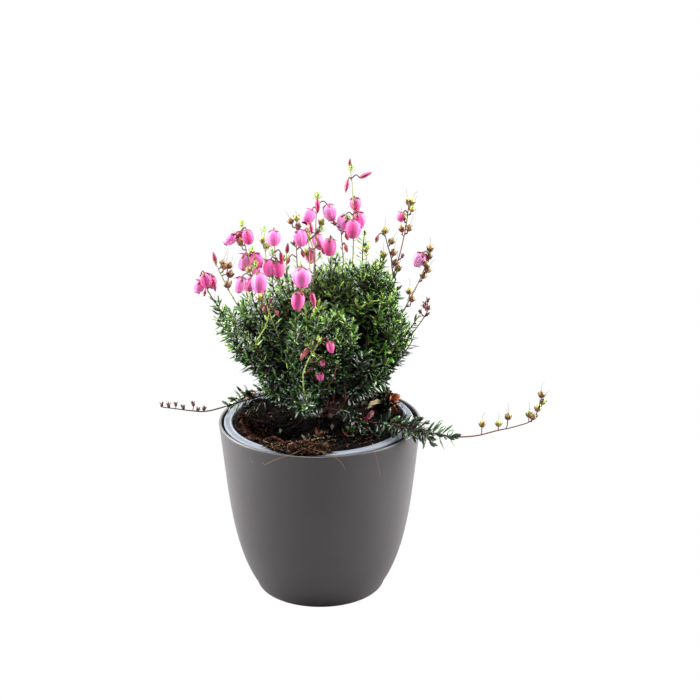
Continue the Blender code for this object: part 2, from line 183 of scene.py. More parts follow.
def hand_over(piece, slot, *nodes):
    """The piece belongs to the one body and stands for CAD nodes, which are hidden. Its slot is not used."""
    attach(piece, "root")
    if nodes:
        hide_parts(*nodes)
    return piece


def rings_to_triangles(rows, columns):
    """Triangles between rings of points, each ring closed on itself."""
    a = np.arange(rows - 1)[:, None] * columns + np.arange(columns)
    b = np.arange(rows - 1)[:, None] * columns + (np.arange(columns) + 1) % columns
    quads = np.stack([a, a + columns, b + columns, b], axis=-1).reshape(-1, 4)
    return np.concatenate([quads[:, (0, 1, 2)], quads[:, (0, 2, 3)]], axis=1).reshape(-1, 3)


def turned(profile, columns):
    """Points and triangles of a hollow form turned about +Z. Its profile of (radius, height) starts and ends
    on the axis, and runs up the inside and down the outside."""
    profile = np.asarray(profile, dtype=float)
    angles = np.linspace(0, 2 * math.pi, columns, endpoint=False)
    ring = np.stack([np.cos(angles), np.sin(angles)], axis=1)
    points = np.concatenate([np.column_stack([ring * max(r, 0.01), np.full(columns, z)]) for r, z in profile])
    return points, rings_to_triangles(len(profile), columns)


def arc(centre, radius, start, end, steps):
    """Points of an arc in a profile's plane, by angle from the +radius direction."""
    turns = np.radians(np.linspace(start, end, steps))
    return np.column_stack([centre[0] + radius * np.cos(turns), centre[1] + radius * np.sin(turns)])


def curve(start, one, two, end, steps):
    """A curve that leaves start towards one and comes to end from two (a cubic Bezier curve)."""
    t = np.linspace(0, 1, steps)[:, None]
    return (1 - t) ** 3 * start + 3 * t * (1 - t) ** 2 * one + 3 * t * t * (1 - t) * two + t ** 3 * end


def cachepot_profile():
    """From the middle of the floor up the inside, over the rim, down the outside and under the foot."""
    top = np.array((POT_RIM_RADIUS, POT_HEIGHT - POT_WALL / 2))
    foot = np.array((POT_FOOT_RADIUS + POT_FOOT_FILLET, POT_FOOT_FILLET))
    upper = top - POT_UPPER_RUN * np.array((POT_UPPER_SLOPE, 1.0))
    lower = foot + POT_LOWER_RUN * np.array((POT_LOWER_SLOPE, 1.0))
    wall = curve(top, upper, lower, foot, 48)
    run = np.gradient(wall, axis=0)
    inward = np.column_stack([run[:, 1], -run[:, 0]]) / np.linalg.norm(run, axis=1)[:, None]
    inside = (wall + POT_WALL * inward)[::-1]
    inside = inside[inside[:, 1] > POT_FLOOR + POT_HEEL]
    heel = arc((inside[0, 0] - POT_HEEL, POT_FLOOR + POT_HEEL), POT_HEEL, -90, 0, 5)
    crest = arc((top[0] - POT_WALL / 2, top[1]), POT_WALL / 2, 180, 0, 9)
    fillet = arc((POT_FOOT_RADIUS, POT_FOOT_FILLET), POT_FOOT_FILLET, 0, -90, 10)
    return np.concatenate([[(0, POT_FLOOR)], heel, inside, crest[1:-1], wall, fillet[1:], [(0, 0)]])


def principled(name, colour, roughness, specular=0.5, ior=1.5):
    """A material with one Principled shader: its colour as it reads on a screen, its roughness, its specular
    level and its index of refraction."""
    made = bpy.data.materials.new(name)
    made.use_nodes = True
    sockets = made.node_tree.nodes["Principled BSDF"].inputs
    sockets["Base Color"].default_value = tone(*colour)
    sockets["Roughness"].default_value = roughness
    sockets["Specular IOR Level"].default_value = specular
    sockets["IOR"].default_value = ior
    return made


def grained(name):
    """Node group: a fine grain over a slow mottle. It gives a colour between two tones and a height."""
    group = bpy.data.node_groups.new(name, "ShaderNodeTree")
    for way, sockets in (("INPUT", {"Dark": "Color", "Light": "Color", "Grain": "Float", "Mottle": "Float"}),
                         ("OUTPUT", {"Color": "Color", "Height": "Float"})):
        for socket, kind in sockets.items():
            group.interface.new_socket(socket, in_out=way, socket_type="NodeSocket" + kind)
    given = add(group, "NodeGroupInput").outputs
    where = add(group, "ShaderNodeTexCoord").outputs["Object"]
    fine = add(group, "ShaderNodeTexNoise", Vector=where, Scale=given["Grain"], Detail=3.0, Roughness=0.7)
    slow = add(group, "ShaderNodeTexNoise", Vector=where, Scale=given["Mottle"], Detail=4.0, Roughness=0.55)
    both = add(group, "ShaderNodeMath", {"operation": "MULTIPLY_ADD"})
    group.links.new(slow.outputs["Fac"], both.inputs[0])
    both.inputs[1].default_value = MOTTLE_WEIGHT
    group.links.new(fine.outputs["Fac"], both.inputs[2])
    spread = add(group, "ShaderNodeMapRange", Value=both.outputs[0], From_Min=0.62, From_Max=1.28)
    blend = add(group, "ShaderNodeMix", {"data_type": "RGBA"}, Factor=spread.outputs[0], A=given["Dark"],
                B=given["Light"])
    add(group, "NodeGroupOutput", Color=blend.outputs["Result"], Height=fine.outputs["Fac"])
    return group


grain_group = grained("grain and mottle")


def grain_finish(name, dark, light, grain, mottle, roughness, specular, bump, rise=0.0002):
    """A Principled material whose colour and bump come from the grain group. The scales of the grain and
    the mottle are in noise cells to the metre, and rise is the bump's height in metres."""
    made = principled(name, dark, roughness, specular)
    tree = made.node_tree
    shader = tree.nodes["Principled BSDF"]
    use = add(tree, "ShaderNodeGroup", {"node_tree": grain_group}, Dark=tone(*dark), Light=tone(*light),
              Grain=grain, Mottle=mottle)
    tree.links.new(use.outputs["Color"], shader.inputs["Base Color"])
    lift = add(tree, "ShaderNodeBump", Height=use.outputs["Height"], Strength=bump, Distance=rise)
    tree.links.new(lift.outputs[0], shader.inputs["Normal"])
    return made


lacquer = grain_finish("anthracite_lacquer", (55, 51, 53), (75, 71, 73), grain=2600.0, mottle=14.0,
                       roughness=0.40, specular=0.55, bump=0.35)
points, triangles = turned(cachepot_profile(), POT_COLUMNS)
hand_over(solid("cachepot", points, triangles, [lacquer]), "outer_pot", "outer_pot")

# Nursery pot
# A thin blue-grey plastic pot with a broad flat lip, rolled over at its outer edge. It wedges low down in
# the cachepot and leans a little, so that its lip lies on the cachepot's rim at the front left.
INNER_RIM_RADIUS = 60.9
INNER_RIM_HEIGHT = 115.6
INNER_LIP_WIDTH = 5.5
INNER_LIP_DROP = 7.0
INNER_WALL = 1.3
INNER_FOOT_RADIUS = 42.0
INNER_FOOT_HEIGHT = 8.1
INNER_LEAN = (-0.7, -1.2)   # how far the rim's middle stands aside from the foot's
INNER_TALL = INNER_RIM_HEIGHT - INNER_FOOT_HEIGHT
INNER_BEAD = 0.62           # radius of the bead along the lip's inner edge
INNER_ROLL = 1.1            # radius of its rolled outer edge


def nursery_profile():
    """From the middle of the floor up the inside, over the beaded lip and down the skirt and wall."""
    rim, foot, wall, top = INNER_RIM_RADIUS, INNER_FOOT_RADIUS, INNER_WALL, INNER_TALL
    mouth = rim - INNER_LIP_WIDTH
    hem = top - INNER_LIP_DROP
    floor_line = [(0, wall), (foot - wall - 1.0, wall)]
    inner_wall = [(foot - wall + 0.3, wall + 1.5), (mouth - 0.4, top - 4.5), (mouth, top - 2.0),
                  (mouth + 0.2, top - 0.9)]
    bead = arc((mouth + 0.95, top - INNER_BEAD), INNER_BEAD, 170, 20, 6)
    flat = [(mouth + 1.9, top - 0.55), (mouth + 2.2, top - 0.5), (rim - 1.9, top - 0.35)]
    roll = arc((rim - INNER_ROLL, top - 1.3), INNER_ROLL, 100, -60, 10)
    skirt = [(rim - 1.6, top - 2.8), (rim - 1.8, hem), (rim - 2.1, hem - 0.2), (rim - 2.4, hem),
             (rim - 2.6, top - 2.8)]
    outer_wall = [(mouth + wall + 0.6, top - 3.0), (mouth + wall + 0.2, top - 3.4), (foot + 0.2, 1.6)]
    heel = [(foot - 0.3, 0.5), (foot - 1.4, 0.0), (0, 0)]
    return np.concatenate([floor_line, inner_wall, bead, flat, roll, skirt, outer_wall, heel])


def tipped(points):
    """Stand a turned form in the nursery pot's place, with its lean."""
    x, y, z = points.T
    share = z / INNER_TALL
    return np.column_stack([x + INNER_LEAN[0] * share, y + INNER_LEAN[1] * share,
                            z + INNER_FOOT_HEIGHT - (x * INNER_LEAN[0] + y * INNER_LEAN[1]) / INNER_TALL])


plastic = grain_finish("blue_grey_plastic", (104, 110, 120), (121, 127, 137), grain=900.0, mottle=60.0,
                       roughness=0.5, specular=0.3, bump=0.08)
points, triangles = turned(nursery_profile(), POT_COLUMNS)
hand_over(solid("nursery_pot", tipped(points), triangles, [plastic]), "inner_pot", "inner_pot")

# Peat
# Coarse fibrous peat, nearly black where it is moist and rust brown where it has dried at the left and
# the front. It is hollow left of the root crown, and a heap lies over both rims at the front.
PEAT_LEVEL = 109.5
PEAT_FLOOR = 14.0
PEAT_SWELLS = (             # centre X, centre Y, width and rise of each swelling or hollow
    (3.0, 16.0, 16.0, 2.5),
    (-24.0, -14.0, 14.0, -7.0),
    (-12.0, -50.0, 13.0, 3.6),
    (36.0, 36.0, 12.0, 2.5),
)
PEAT_RINGS = 60
PEAT_SPOKES = 200
HOLLOW = (-21.0, -8.0, 12.0, -4.0)      # the hollow's black middle, deeper than the plain root ball's
BANK = (43.0, 52.0, 5.6)    # peat banks up against the wall: from this radius, to this one, by so much
PEAT_REACH = 53.5           # crumbs on the peat lie within this radius
FIBRE_REACH = 53.4          # and fibres within this one
HEAP_REACH = 64.0           # or within this one where they lie in the heap
LIP_FROM = 54.0             # beyond this radius they lie on the nursery pot's lip
HEAP_LEFT = -123            # compass of the heap's two ends on the rims
HEAP_RIGHT = -82
CRUMBS = 4500
WALL_CRUMBS = 420           # pushed up against the wall at the left
HEAP_CRUMBS = 1900
CRUMB_SQUASH = 0.7          # a crumb's height as a share of its width
FIBRES = 820
FIBRE_STEPS = 8


def bend(points, steps):
    """A smooth line through the given points (Catmull-Rom), with so many steps to each stretch."""
    points = [np.asarray(p, dtype=float) for p in points]
    ends = [2 * points[0] - points[1], *points, 2 * points[-1] - points[-2]]
    out = []
    for i in range(len(points) - 1):
        a, b, c, d = ends[i:i + 4]
        for k in range(steps):
            t = k / steps
            out.append(0.5 * (2 * b + (c - a) * t + (2 * a - 5 * b + 4 * c - d) * t * t
                              + (3 * b - a - 3 * c + d) * t ** 3))
    return np.array(out + [points[-1]])


def peat_height(x, y):
    """The CAD root ball's height, with the finer lumps of the real surface."""
    height = PEAT_LEVEL + 1.3 * noise.noise(Vector((x, y, 3.0)) / 7.0)
    for centre_x, centre_y, width, rise in (*PEAT_SWELLS, HOLLOW):
        height += rise * math.exp(-((x - centre_x) ** 2 + (y - centre_y) ** 2) / (2 * width ** 2))
    share = min(1.0, max(0.0, (math.hypot(x, y) - BANK[0]) / (BANK[1] - BANK[0])))
    height += BANK[2] * share * share * (3 - 2 * share)
    lumps = 1.1 * noise.noise(Vector((x, y, 8.0)) / 3.1) + 0.7 * noise.noise(Vector((x, y, 1.0)) / 1.3)
    return height + lumps


def peat_body():
    """The root ball: a rough top, a wall that follows the nursery pot's and a flat base."""
    share = (PEAT_LEVEL - INNER_FOOT_HEIGHT) / INNER_TALL
    foot = INNER_FOOT_RADIUS - INNER_WALL
    edge = foot + (INNER_RIM_RADIUS - INNER_LIP_WIDTH - foot) * share - 0.5
    centre = np.array(INNER_LEAN) * share
    points = []
    for ring in range(PEAT_RINGS + 1):
        radius = edge * max(ring, 0.01) / PEAT_RINGS
        for k in range(PEAT_SPOKES):
            angle = 2 * math.pi * (k + 0.5 * (ring % 2)) / PEAT_SPOKES
            x = centre[0] + radius * math.cos(angle)
            y = centre[1] + radius * math.sin(angle)
            points.append((x, y, peat_height(x, y)))
    for radius, height in ((edge - 4, 80.0), (edge - 9, 45.0), (foot - 0.5, PEAT_FLOOR), (0.01, PEAT_FLOOR)):
        for k in range(PEAT_SPOKES):
            angle = 2 * math.pi * k / PEAT_SPOKES
            points.append((radius * math.cos(angle), radius * math.sin(angle), height))
    return points, rings_to_triangles(PEAT_RINGS + 5, PEAT_SPOKES)


class Heap:
    """Many small things gathered to be joined into one piece."""

    def __init__(self):
        self.points, self.triangles, self.which, self.count = [], [], [], 0

    def add(self, points, triangles, which=0):
        """Put in one thing; which is its finish, or one for each of its triangles."""
        triangles = np.asarray(triangles)
        self.points.append(np.asarray(points))
        self.triangles.append(triangles + self.count)
        self.which.append(np.broadcast_to(which, len(triangles)))
        self.count += len(points)

    def stalk(self, line, first, last, sides, which=0):
        """Put in a round stalk along a line, tapered from its first radius to its last."""
        self.add(*tube(line, np.linspace(first, last, len(line)), sides), which)

    def join(self, name, finishes):
        """The joined piece."""
        return solid(name, np.concatenate(self.points), np.concatenate(self.triangles), finishes,
                     np.concatenate(self.which))


def unit_ball():
    """Points and triangles of a small ball with 20 faces."""
    made = bmesh.new()
    bmesh.ops.create_icosphere(made, subdivisions=1, radius=1.0)
    points = np.array([v.co for v in made.verts])
    triangles = np.array([[v.index for v in f.verts] for f in made.faces])
    made.free()
    return points, triangles


def crumbs(heap, places, sizes, which, rng):
    """Uneven lumps: the unit ball, jittered, stretched and turned for each place."""
    points, triangles = unit_ball()
    count = len(places)
    many = points[None] * rng.uniform(0.72, 1.2, (count, len(points), 1))
    many = many * (rng.uniform(0.6, 1.25, (count, 1, 3)) * (1, 1, CRUMB_SQUASH))
    turn = rng.uniform(0, 2 * math.pi, count)
    x = many[..., 0] * np.cos(turn)[:, None] - many[..., 1] * np.sin(turn)[:, None]
    y = many[..., 0] * np.sin(turn)[:, None] + many[..., 1] * np.cos(turn)[:, None]
    many = np.stack([x, y, many[..., 2]], axis=-1) * np.asarray(sizes)[:, None, None] + places[:, None]
    faces = triangles[None] + np.arange(count)[:, None, None] * len(points)
    heap.add(many.reshape(-1, 3), faces.reshape(-1, 3), np.repeat(which, len(triangles)))


def across(way):
    """Two unit vectors square to a direction and to each other."""
    way = way / np.linalg.norm(way)
    guide = np.array((0.0, 0.0, 1.0)) if abs(way[2]) < 0.9 else np.array((1.0, 0.0, 0.0))
    side = np.cross(way, guide)
    side /= np.linalg.norm(side)
    return side, np.cross(way, side)


def tube(path, radii, sides=6):
    """Points and triangles of a round stalk along a path, closed at both ends."""
    path = np.asarray(path, dtype=float)
    ways = np.gradient(path, axis=0)
    ways /= np.linalg.norm(ways, axis=1)[:, None] + 1e-9
    radii = np.broadcast_to(radii, len(path))
    turns = 2 * math.pi * np.arange(sides) / sides
    side = across(ways[0])[0]
    rings = [np.repeat(path[:1], sides, axis=0)]
    for here, way, radius in zip(path, ways, radii):
        side = side - way * side.dot(way)
        side /= np.linalg.norm(side)
        other = np.cross(way, side)
        rings.append(here + radius * (np.outer(np.cos(turns), side) + np.outer(np.sin(turns), other)))
    rings.append(np.repeat(path[-1:], sides, axis=0))
    return np.concatenate(rings), rings_to_triangles(len(rings), sides)[:, ::-1]


def on_heap(rng, count):
    """Places in the heap that lies over the lip and the cachepot's rim, lowest at its ends."""
    middle = (HEAP_LEFT + HEAP_RIGHT) / 2
    half = (HEAP_RIGHT - HEAP_LEFT) / 2
    angle = middle + half * rng.uniform(-1, 1, count) * rng.uniform(0.8, 1.06, count)
    fade = np.clip(1 - np.abs(angle - middle) / half, 0.12, 1) ** 0.5
    angle = np.radians(angle)
    radius = 52.5 + 11.7 * rng.uniform(0, 1, count) * (0.45 + 0.55 * fade)
    rise = rng.uniform(0, 1.0, count) ** 0.7 * fade * np.interp(radius, (52, 58, 64.5), (4.6, 3.6, 0.8))
    height = INNER_RIM_HEIGHT - 0.6 + rise
    return np.column_stack([radius * np.cos(angle), radius * np.sin(angle), height])


def scattered(rng, count, inner=0.0):
    """Places on the peat's surface."""
    radius = np.sqrt(rng.uniform((inner / PEAT_REACH) ** 2, 1, count)) * PEAT_REACH
    angle = rng.uniform(0, 2 * math.pi, count)
    x = radius * np.cos(angle) + INNER_LEAN[0]
    y = radius * np.sin(angle) + INNER_LEAN[1]
    return np.column_stack([x, y, [peat_height(u, v) for u, v in zip(x, y)]])


peat_rng = np.random.default_rng(11)
moist_peat = grain_finish("moist_peat", (2, 2, 2), (17, 12, 10), grain=700.0, mottle=90.0, roughness=0.9,
                          specular=0.07, bump=0.8, rise=0.0006)
peat_tones = [
    principled("crumb_black", (6, 5, 4), 0.85, 0.05),
    principled("crumb_umber", (30, 19, 14), 0.85, 0.06),
    principled("crumb_rust", (84, 48, 33), 0.85, 0.15),
    principled("crumb_moss", (88, 92, 70), 0.85, 0.15),
    principled("crumb_straw", (140, 110, 76), 0.8, 0.2),
]
BLACK, UMBER, RUST, MOSS, STRAW = range(5)
CLUMPS = (      # X, Y, half width, rise, count, crumb size, how far out it may lie and the finishes dealt out
    (38, 38, 12, 10.0, 700, 1.2, 59, (MOSS, UMBER, MOSS, BLACK)),
    (46, 26, 9, 6.0, 260, 1.1, 57, (BLACK, MOSS, UMBER)),
    (24, 46, 10, 8.0, 340, 1.1, 59, (BLACK, MOSS, BLACK)),
    (-4, -24, 12, 5.5, 480, 1.0, 53, (BLACK, UMBER, MOSS, BLACK, BLACK, STRAW)),
    (-27, -42, 11, 3.5, 300, 0.9, 53, (RUST, UMBER, UMBER)),
    (-44, 4, 12, 3.0, 260, 0.85, 53, (RUST, UMBER, UMBER)),
    (30, -20, 12, 3.0, 300, 1.1, 53, (BLACK, UMBER, MOSS)),
)
points, triangles = peat_body()
hand_over(solid("peat", points, triangles[:, ::-1], [moist_peat]), "peat", "soil")

crumb_heap = Heap()
places = scattered(peat_rng, CRUMBS)
far_left = np.clip((-places[:, 0] - 0.5 * places[:, 1] - 22) / 30, 0, 1)
dug_out = np.exp(-((places[:, 0] - HOLLOW[0]) ** 2 + (places[:, 1] - HOLLOW[1]) ** 2) / 200)
luck = peat_rng.uniform(0, 1, CRUMBS) + 0.5 * dug_out
kinds = np.where(luck < 0.55 * far_left + 0.04, RUST, np.where(luck < 0.45 * far_left + 0.26, UMBER, BLACK))
kinds = np.where(peat_rng.uniform(0, 1, CRUMBS) > 0.985, STRAW, kinds)
crumbs(crumb_heap, places, peat_rng.uniform(0.3, 1.15, CRUMBS), kinds, peat_rng)
turn = np.radians(peat_rng.uniform(135, 248, WALL_CRUMBS))
radius = peat_rng.uniform(51.5, 54.2, WALL_CRUMBS)
places = np.column_stack([radius * np.cos(turn) + INNER_LEAN[0], radius * np.sin(turn) + INNER_LEAN[1],
                          peat_rng.uniform(112.8, 115.0, WALL_CRUMBS)])
kinds = peat_rng.choice((RUST, UMBER, BLACK), WALL_CRUMBS, p=(0.25, 0.4, 0.35))
crumbs(crumb_heap, places, peat_rng.uniform(0.5, 1.1, WALL_CRUMBS), kinds, peat_rng)
places = on_heap(peat_rng, HEAP_CRUMBS)
kinds = peat_rng.choice((RUST, UMBER, BLACK, MOSS, STRAW), HEAP_CRUMBS, p=(0.03, 0.12, 0.80, 0.02, 0.03))
crumbs(crumb_heap, places, peat_rng.uniform(0.3, 0.85, HEAP_CRUMBS), kinds, peat_rng)
for x, y, half, rise, count, size, outer, finishes in CLUMPS:
    off = peat_rng.normal(0, 0.45, (count, 2)) * half
    height = rise * np.exp(-np.sum(off ** 2, axis=1) / (0.5 * half * half)) * peat_rng.uniform(0.3, 1, count)
    spots = []
    for (u, v), raised in zip(off + (x, y), height):
        away = math.hypot(u, v)
        lowest = INNER_RIM_HEIGHT if away > LIP_FROM else 0.0
        if away < outer:
            spots.append((u, v, max(peat_height(u, v) + raised, lowest)))
    crumbs(crumb_heap, np.array(spots), size * peat_rng.uniform(0.5, 1.2, len(spots)),
           peat_rng.choice(finishes, len(spots)), peat_rng)
hand_over(crumb_heap.join("peat_crumbs", peat_tones), "peat")


def fibre_line(rng, start, in_heap):
    """A rootlet that wanders over the peat, or over the heap, and stops at the rim."""
    heading = rng.uniform(0, 2 * math.pi)
    length = rng.uniform(4, 9) if in_heap else rng.uniform(5, 17)
    curl = rng.normal(0, 0.3 if in_heap else 0.14)
    line = [start]
    for _ in range(FIBRE_STEPS):
        heading += curl + rng.normal(0, 0.09)
        x = line[-1][0] + length / FIBRE_STEPS * math.cos(heading)
        y = line[-1][1] + length / FIBRE_STEPS * math.sin(heading)
        if math.hypot(x, y) > (HEAP_REACH if in_heap else FIBRE_REACH):
            break
        ground = start[2] if in_heap else peat_height(x, y)
        line.append(np.array((x, y, ground + 0.3 + abs(rng.normal(0, 0.5)))))
    return line


fibre_heap = Heap()
for k in range(FIBRES):
    in_heap = k % 5 < 2         # two in five lie in the heap, two at the left and in front, and one anywhere
    if in_heap:
        start = on_heap(peat_rng, 1)[0]
    elif k % 5 < 4:
        turn = math.radians(peat_rng.uniform(158, 268))
        radius = LIP_FROM * peat_rng.uniform(0.5, 1) ** 0.5
        x, y = radius * math.cos(turn), radius * math.sin(turn)
        start = np.array((x, y, peat_height(x, y)))
    else:
        start = scattered(peat_rng, 1, 8)[0]
    fibre = fibre_line(peat_rng, start, in_heap)
    if len(fibre) > 3:
        luck = peat_rng.uniform()
        kind = RUST if luck < (0.2 if in_heap else 0.5) else UMBER if luck < 0.92 else STRAW
        fibre_heap.add(*tube(bend(fibre, 3), peat_rng.uniform(0.08, 0.2), 3), kind)
OVER_THE_RIM = (        # fine dry rootlets that hang down the cachepot's front
    ((-8, -58, 118), (-17, -65.0, 116.3), (-25, -62.0, 112.6), (-32.5, -57.6, 107.2), (-34.5, -56.4, 108.0)),
    ((-3, -60, 118), (7.8, -65.8, 116.4), (13.5, -65.0, 111.8), (16.5, -64.3, 106.4)),
    ((33, -52, 119), (34.6, -57.0, 114.6), (36.2, -55.9, 107.0), (37.4, -54.9, 100.6), (37.9, -54.6, 98.6)),
    ((-42.4, -50.1, 108.6), (-42.2, -50.4, 106.9), (-41.0, -51.4, 106.2), (-39.8, -52.4, 106.8)),
)
for rootlet in OVER_THE_RIM:
    fibre_heap.stalk(bend(rootlet, 6), 0.11, 0.11, 4, STRAW)
hand_over(fibre_heap.join("peat_fibres", peat_tones), "peat")

# Woody stems
# The root crown is a knuckle of old wood with furrowed brown bark. Twelve boughs and the two long low
# shoots leave it, reddish brown and as thick as a match at most.
STEM_FOOT = np.array((3.0, 16.0, 112.0))
STEM_HEAD_AT = np.array((2.4, 15.2, 121.0))
STEM_RINGS = (      # share of the way from foot to head, and radius
    (-0.25, 8.2), (0.0, 7.2), (0.12, 5.8), (0.3, 4.5), (0.55, 4.1), (0.8, 4.7), (1.0, 5.0), (1.28, 4.3),
    (1.46, 2.7), (1.56, 0.1),
)
STEM_COLUMNS = 48
BOUGH_BASE = 1.25
BOUGH_TIP = 0.7
BOUGH_BOW = 12.0
BOUGH_SEAT = 4.6            # boughs leave the head so far from its middle
RUNNER_BASE = 1.15          # the low shoots' radius at the root crown, and where their leaves begin
RUNNER_TIP = 0.75
TIER_LEAN = {"low": 72, "high": 36, "top": 0}
BARK_SEED = 5               # without a seed the furrows would differ at each run
MASSES = {      # compass, lean and length of the line to the middle, then the bough's own compass and tier
    "left": (199, 41, 80, 196, "low"),
    "left_low": (216, 53, 46, 232, "low"),
    "left_top": (198, 21, 64, 205, "high"),
    "front": (268, 33, 66, 282, "high"),
    "front_low": (262, 56, 41, 266, "low"),
    "centre_top": (311, 7, 78, 311, "top"),
    "right_top": (344, 24, 84, 352, "high"),
    "right": (342, 43, 71, 346, "low"),
    "right_low": (325, 54, 49, 306, "low"),
    "back_left": (150, 40, 56, 126, "low"),
    "back": (80, 27, 64, 80, "high"),
    "back_right": (30, 40, 64, 28, "low"),
}
RIGHT_STEM = ((2.4, 14, 117), (6.3, 11.6, 115.6), (16, 1, 115.2), (25, -7, 116.0), (33.5, -14.5, 117.2))
LEFT_STEM = ((1, 16, 117), (-3.3, 17.0, 119.6), (-12, 16.5, 122.5), (-22.2, 10.4, 127.6))


def compass(heading, lean):
    """Unit vector at a compass angle from +X, leaning away from upright."""
    h = math.radians(heading)
    v = math.radians(lean)
    return np.array((math.sin(v) * math.cos(h), math.sin(v) * math.sin(h), math.cos(v)))


def arched(start, pull, end, steps):
    """A curve from start to end that bows towards pull."""
    t = np.linspace(0, 1, steps)[:, None]
    return (1 - t) ** 2 * start + 2 * t * (1 - t) * pull + t * t * end


def bough_line(name):
    """A bough from the root crown's head to the middle of its mass."""
    heading, lean, reach, leaving, tier = MASSES[name]
    start = STEM_HEAD_AT + compass(leaving, TIER_LEAN[tier]) * BOUGH_SEAT
    end = STEM_HEAD_AT + compass(heading, lean) * reach
    pull = STEM_HEAD_AT + compass(heading, lean + BOUGH_BOW * (tier != "top")) * reach * 0.45
    return arched(start, pull, end, 40)


def barked(points, depth, size):
    """Push points in and out by a furrowed pattern of the given depth and size, longer up the stem than
    round it."""
    moved = []
    for p in points:
        spot = Vector((p[0], p[1], p[2] * 0.35)) / size
        push = noise.noise_vector(spot) * depth
        moved.append((p[0] + push.x, p[1] + push.y, p[2] + push.z * 0.5))
    return np.array(moved)


noise.seed_set(BARK_SEED)
bark = grain_finish("red_brown_bark", (22, 13, 11), (66, 37, 29), grain=1500.0, mottle=260.0, roughness=0.8,
                    specular=0.25, bump=0.7, rise=0.0004)
wood = Heap()
stem_rows = bend(STEM_RINGS, 5)
stem_points = []
for share, radius in stem_rows:
    middle = STEM_FOOT + (STEM_HEAD_AT - STEM_FOOT) * share
    for k in range(STEM_COLUMNS):
        angle = 2 * math.pi * k / STEM_COLUMNS
        knobbly = 1 + 0.10 * math.sin(3 * angle + 4 * share) + 0.06 * math.sin(11 * angle + 2 * share)
        stem_points.append(middle + np.array((math.cos(angle), math.sin(angle), 0)) * radius * knobbly)
wood.add(barked(stem_points, 0.9, 1.6), rings_to_triangles(len(stem_rows), STEM_COLUMNS)[:, ::-1])
limbs = []
for name in MASSES:
    line = bough_line(name)
    knobs = 1 + 0.12 * np.sin(np.arange(len(line)) * 1.7)
    limbs.append((line, np.linspace(BOUGH_BASE, BOUGH_TIP, len(line)) * knobs))
for line in (bend(RIGHT_STEM, 8), bend(LEFT_STEM, 8)):
    limbs.append((line, np.linspace(RUNNER_BASE, RUNNER_TIP, len(line))))
for line, radii in limbs:
    points, triangles = tube(line, radii, 10)
    wood.add(barked(points, 0.28, 0.9), triangles)
hand_over(wood.join("woody_stems", [bark]), "bark", "stem", *("bough_" + name for name in MASSES),
          "runner_right_stem", "runner_left_stem")

# Leafy shoots
# Long shoots leave the boughs and fan out from the foot of the plant, one for every few millimetres of the
# crown's outside. Each is set all round with small glossy leaves. A leaf is dark above with rolled edges, and
# felted pale grey below; those near the shoot's tip are yellow-green.
CROWN_WAYS = 3200           # directions from the root crown in which the masses are measured
CROWN_LOWEST = 84           # the widest of them from upright
CROWN_EVENING = 6.5         # neighbours within about this angle are evened out
CROWN_GROWN = 1.07          # shoots outgrow the evened surface
OUTSIDE = 200.0             # a distance that is clear of every mass
OPENING = ((10.0, -30.0, 136.0), 14.5)       # a gap low in front, in which the stems show: centre, radius
OUTLINE = (     # the leafy crown's outline as the camera sees it, X and Z in the plane Y = 0
    (-66.3, 198.7), (-65.0, 193.5), (-65.8, 181.7), (-62.8, 175.5), (-58.9, 167.9), (-53.1, 159.2),
    (-43.3, 149.5), (-39.7, 144.2), (-35.8, 137.9), (-33.1, 135.1), (-26.0, 124.0), (0.0, 116.0),
    (18.4, 119.0), (23.0, 130.0), (27.6, 137.8), (36.6, 137.8), (40.4, 140.8), (41.2, 148.7), (46.7, 152.0),
    (50.3, 156.3), (52.1, 162.1), (54.7, 167.9), (57.0, 173.6), (55.0, 180.0), (49.2, 183.2), (47.3, 187.0),
    (48.1, 193.5), (49.9, 198.3), (44.4, 205.8), (40.8, 211.4), (39.9, 217.0), (36.3, 222.6), (31.8, 222.6),
    (21.8, 221.6), (17.4, 218.8), (12.1, 221.6), (0.5, 220.8), (-3.1, 217.9), (-13.0, 213.0),
    (-21.1, 212.3), (-32.0, 205.8), (-44.5, 206.7), (-52.7, 203.2), (-53.5, 194.0), (-58.5, 187.0),
    (-61.0, 193.0), (-62.0, 199.5),
)
TIP_SPACING = 4.8
THIN = {"left": 8.0, "left_low": 7.4, "left_top": 6.4, "back_left": 7.0}       # wider spacings at the left
TIP_DEPTH = 9.0             # shoots end up to so far inside the crown's outside
DRAW_IN = 2.0               # a tip outside the outline is drawn in by such steps
SHOOT_LENGTH = 24.0         # a shoot leaves its bough at least so far from its tip
GOLDEN_TURN = 137.5         # from one leaf to the next round a shoot
LEAF_STEP = 1.05
LEAF_LENGTH = 8.8
TOP_LEAF_SHORTER = 1.5
LEAF_SLIMNESS = 0.17        # half width as a share of the length
LEAFY_LENGTH = 27.0
TWIG_BASE = 0.5
TWIG_TIP = 0.26
LEAF_STATIONS = ((0.2, 0.64), (0.52, 1.0), (0.82, 0.62))        # share of the length, and of the half width
LEAF_SECTION = ((-1.0, -0.28), (0.0, 0.08), (1.0, -0.28))       # across and up, in half widths
leaf_finishes = [
    principled("leaf_old", (17, 38, 13), 0.3, 0.9, 1.45),
    principled("leaf_green", (45, 86, 22), 0.27, 0.9, 1.6),
    principled("leaf_fresh", (108, 166, 48), 0.28, 0.8, 1.6),
    principled("leaf_young", (172, 206, 84), 0.34, 0.6),
    principled("leaf_felt", (64, 80, 60), 0.9, 0.2),
    principled("sepal_red", (150, 54, 56), 0.5),
    principled("leaf_wine", (112, 46, 42), 0.5),
]
OLD, GREEN, FRESH, YOUNG, FELT, RED, WINE = range(7)
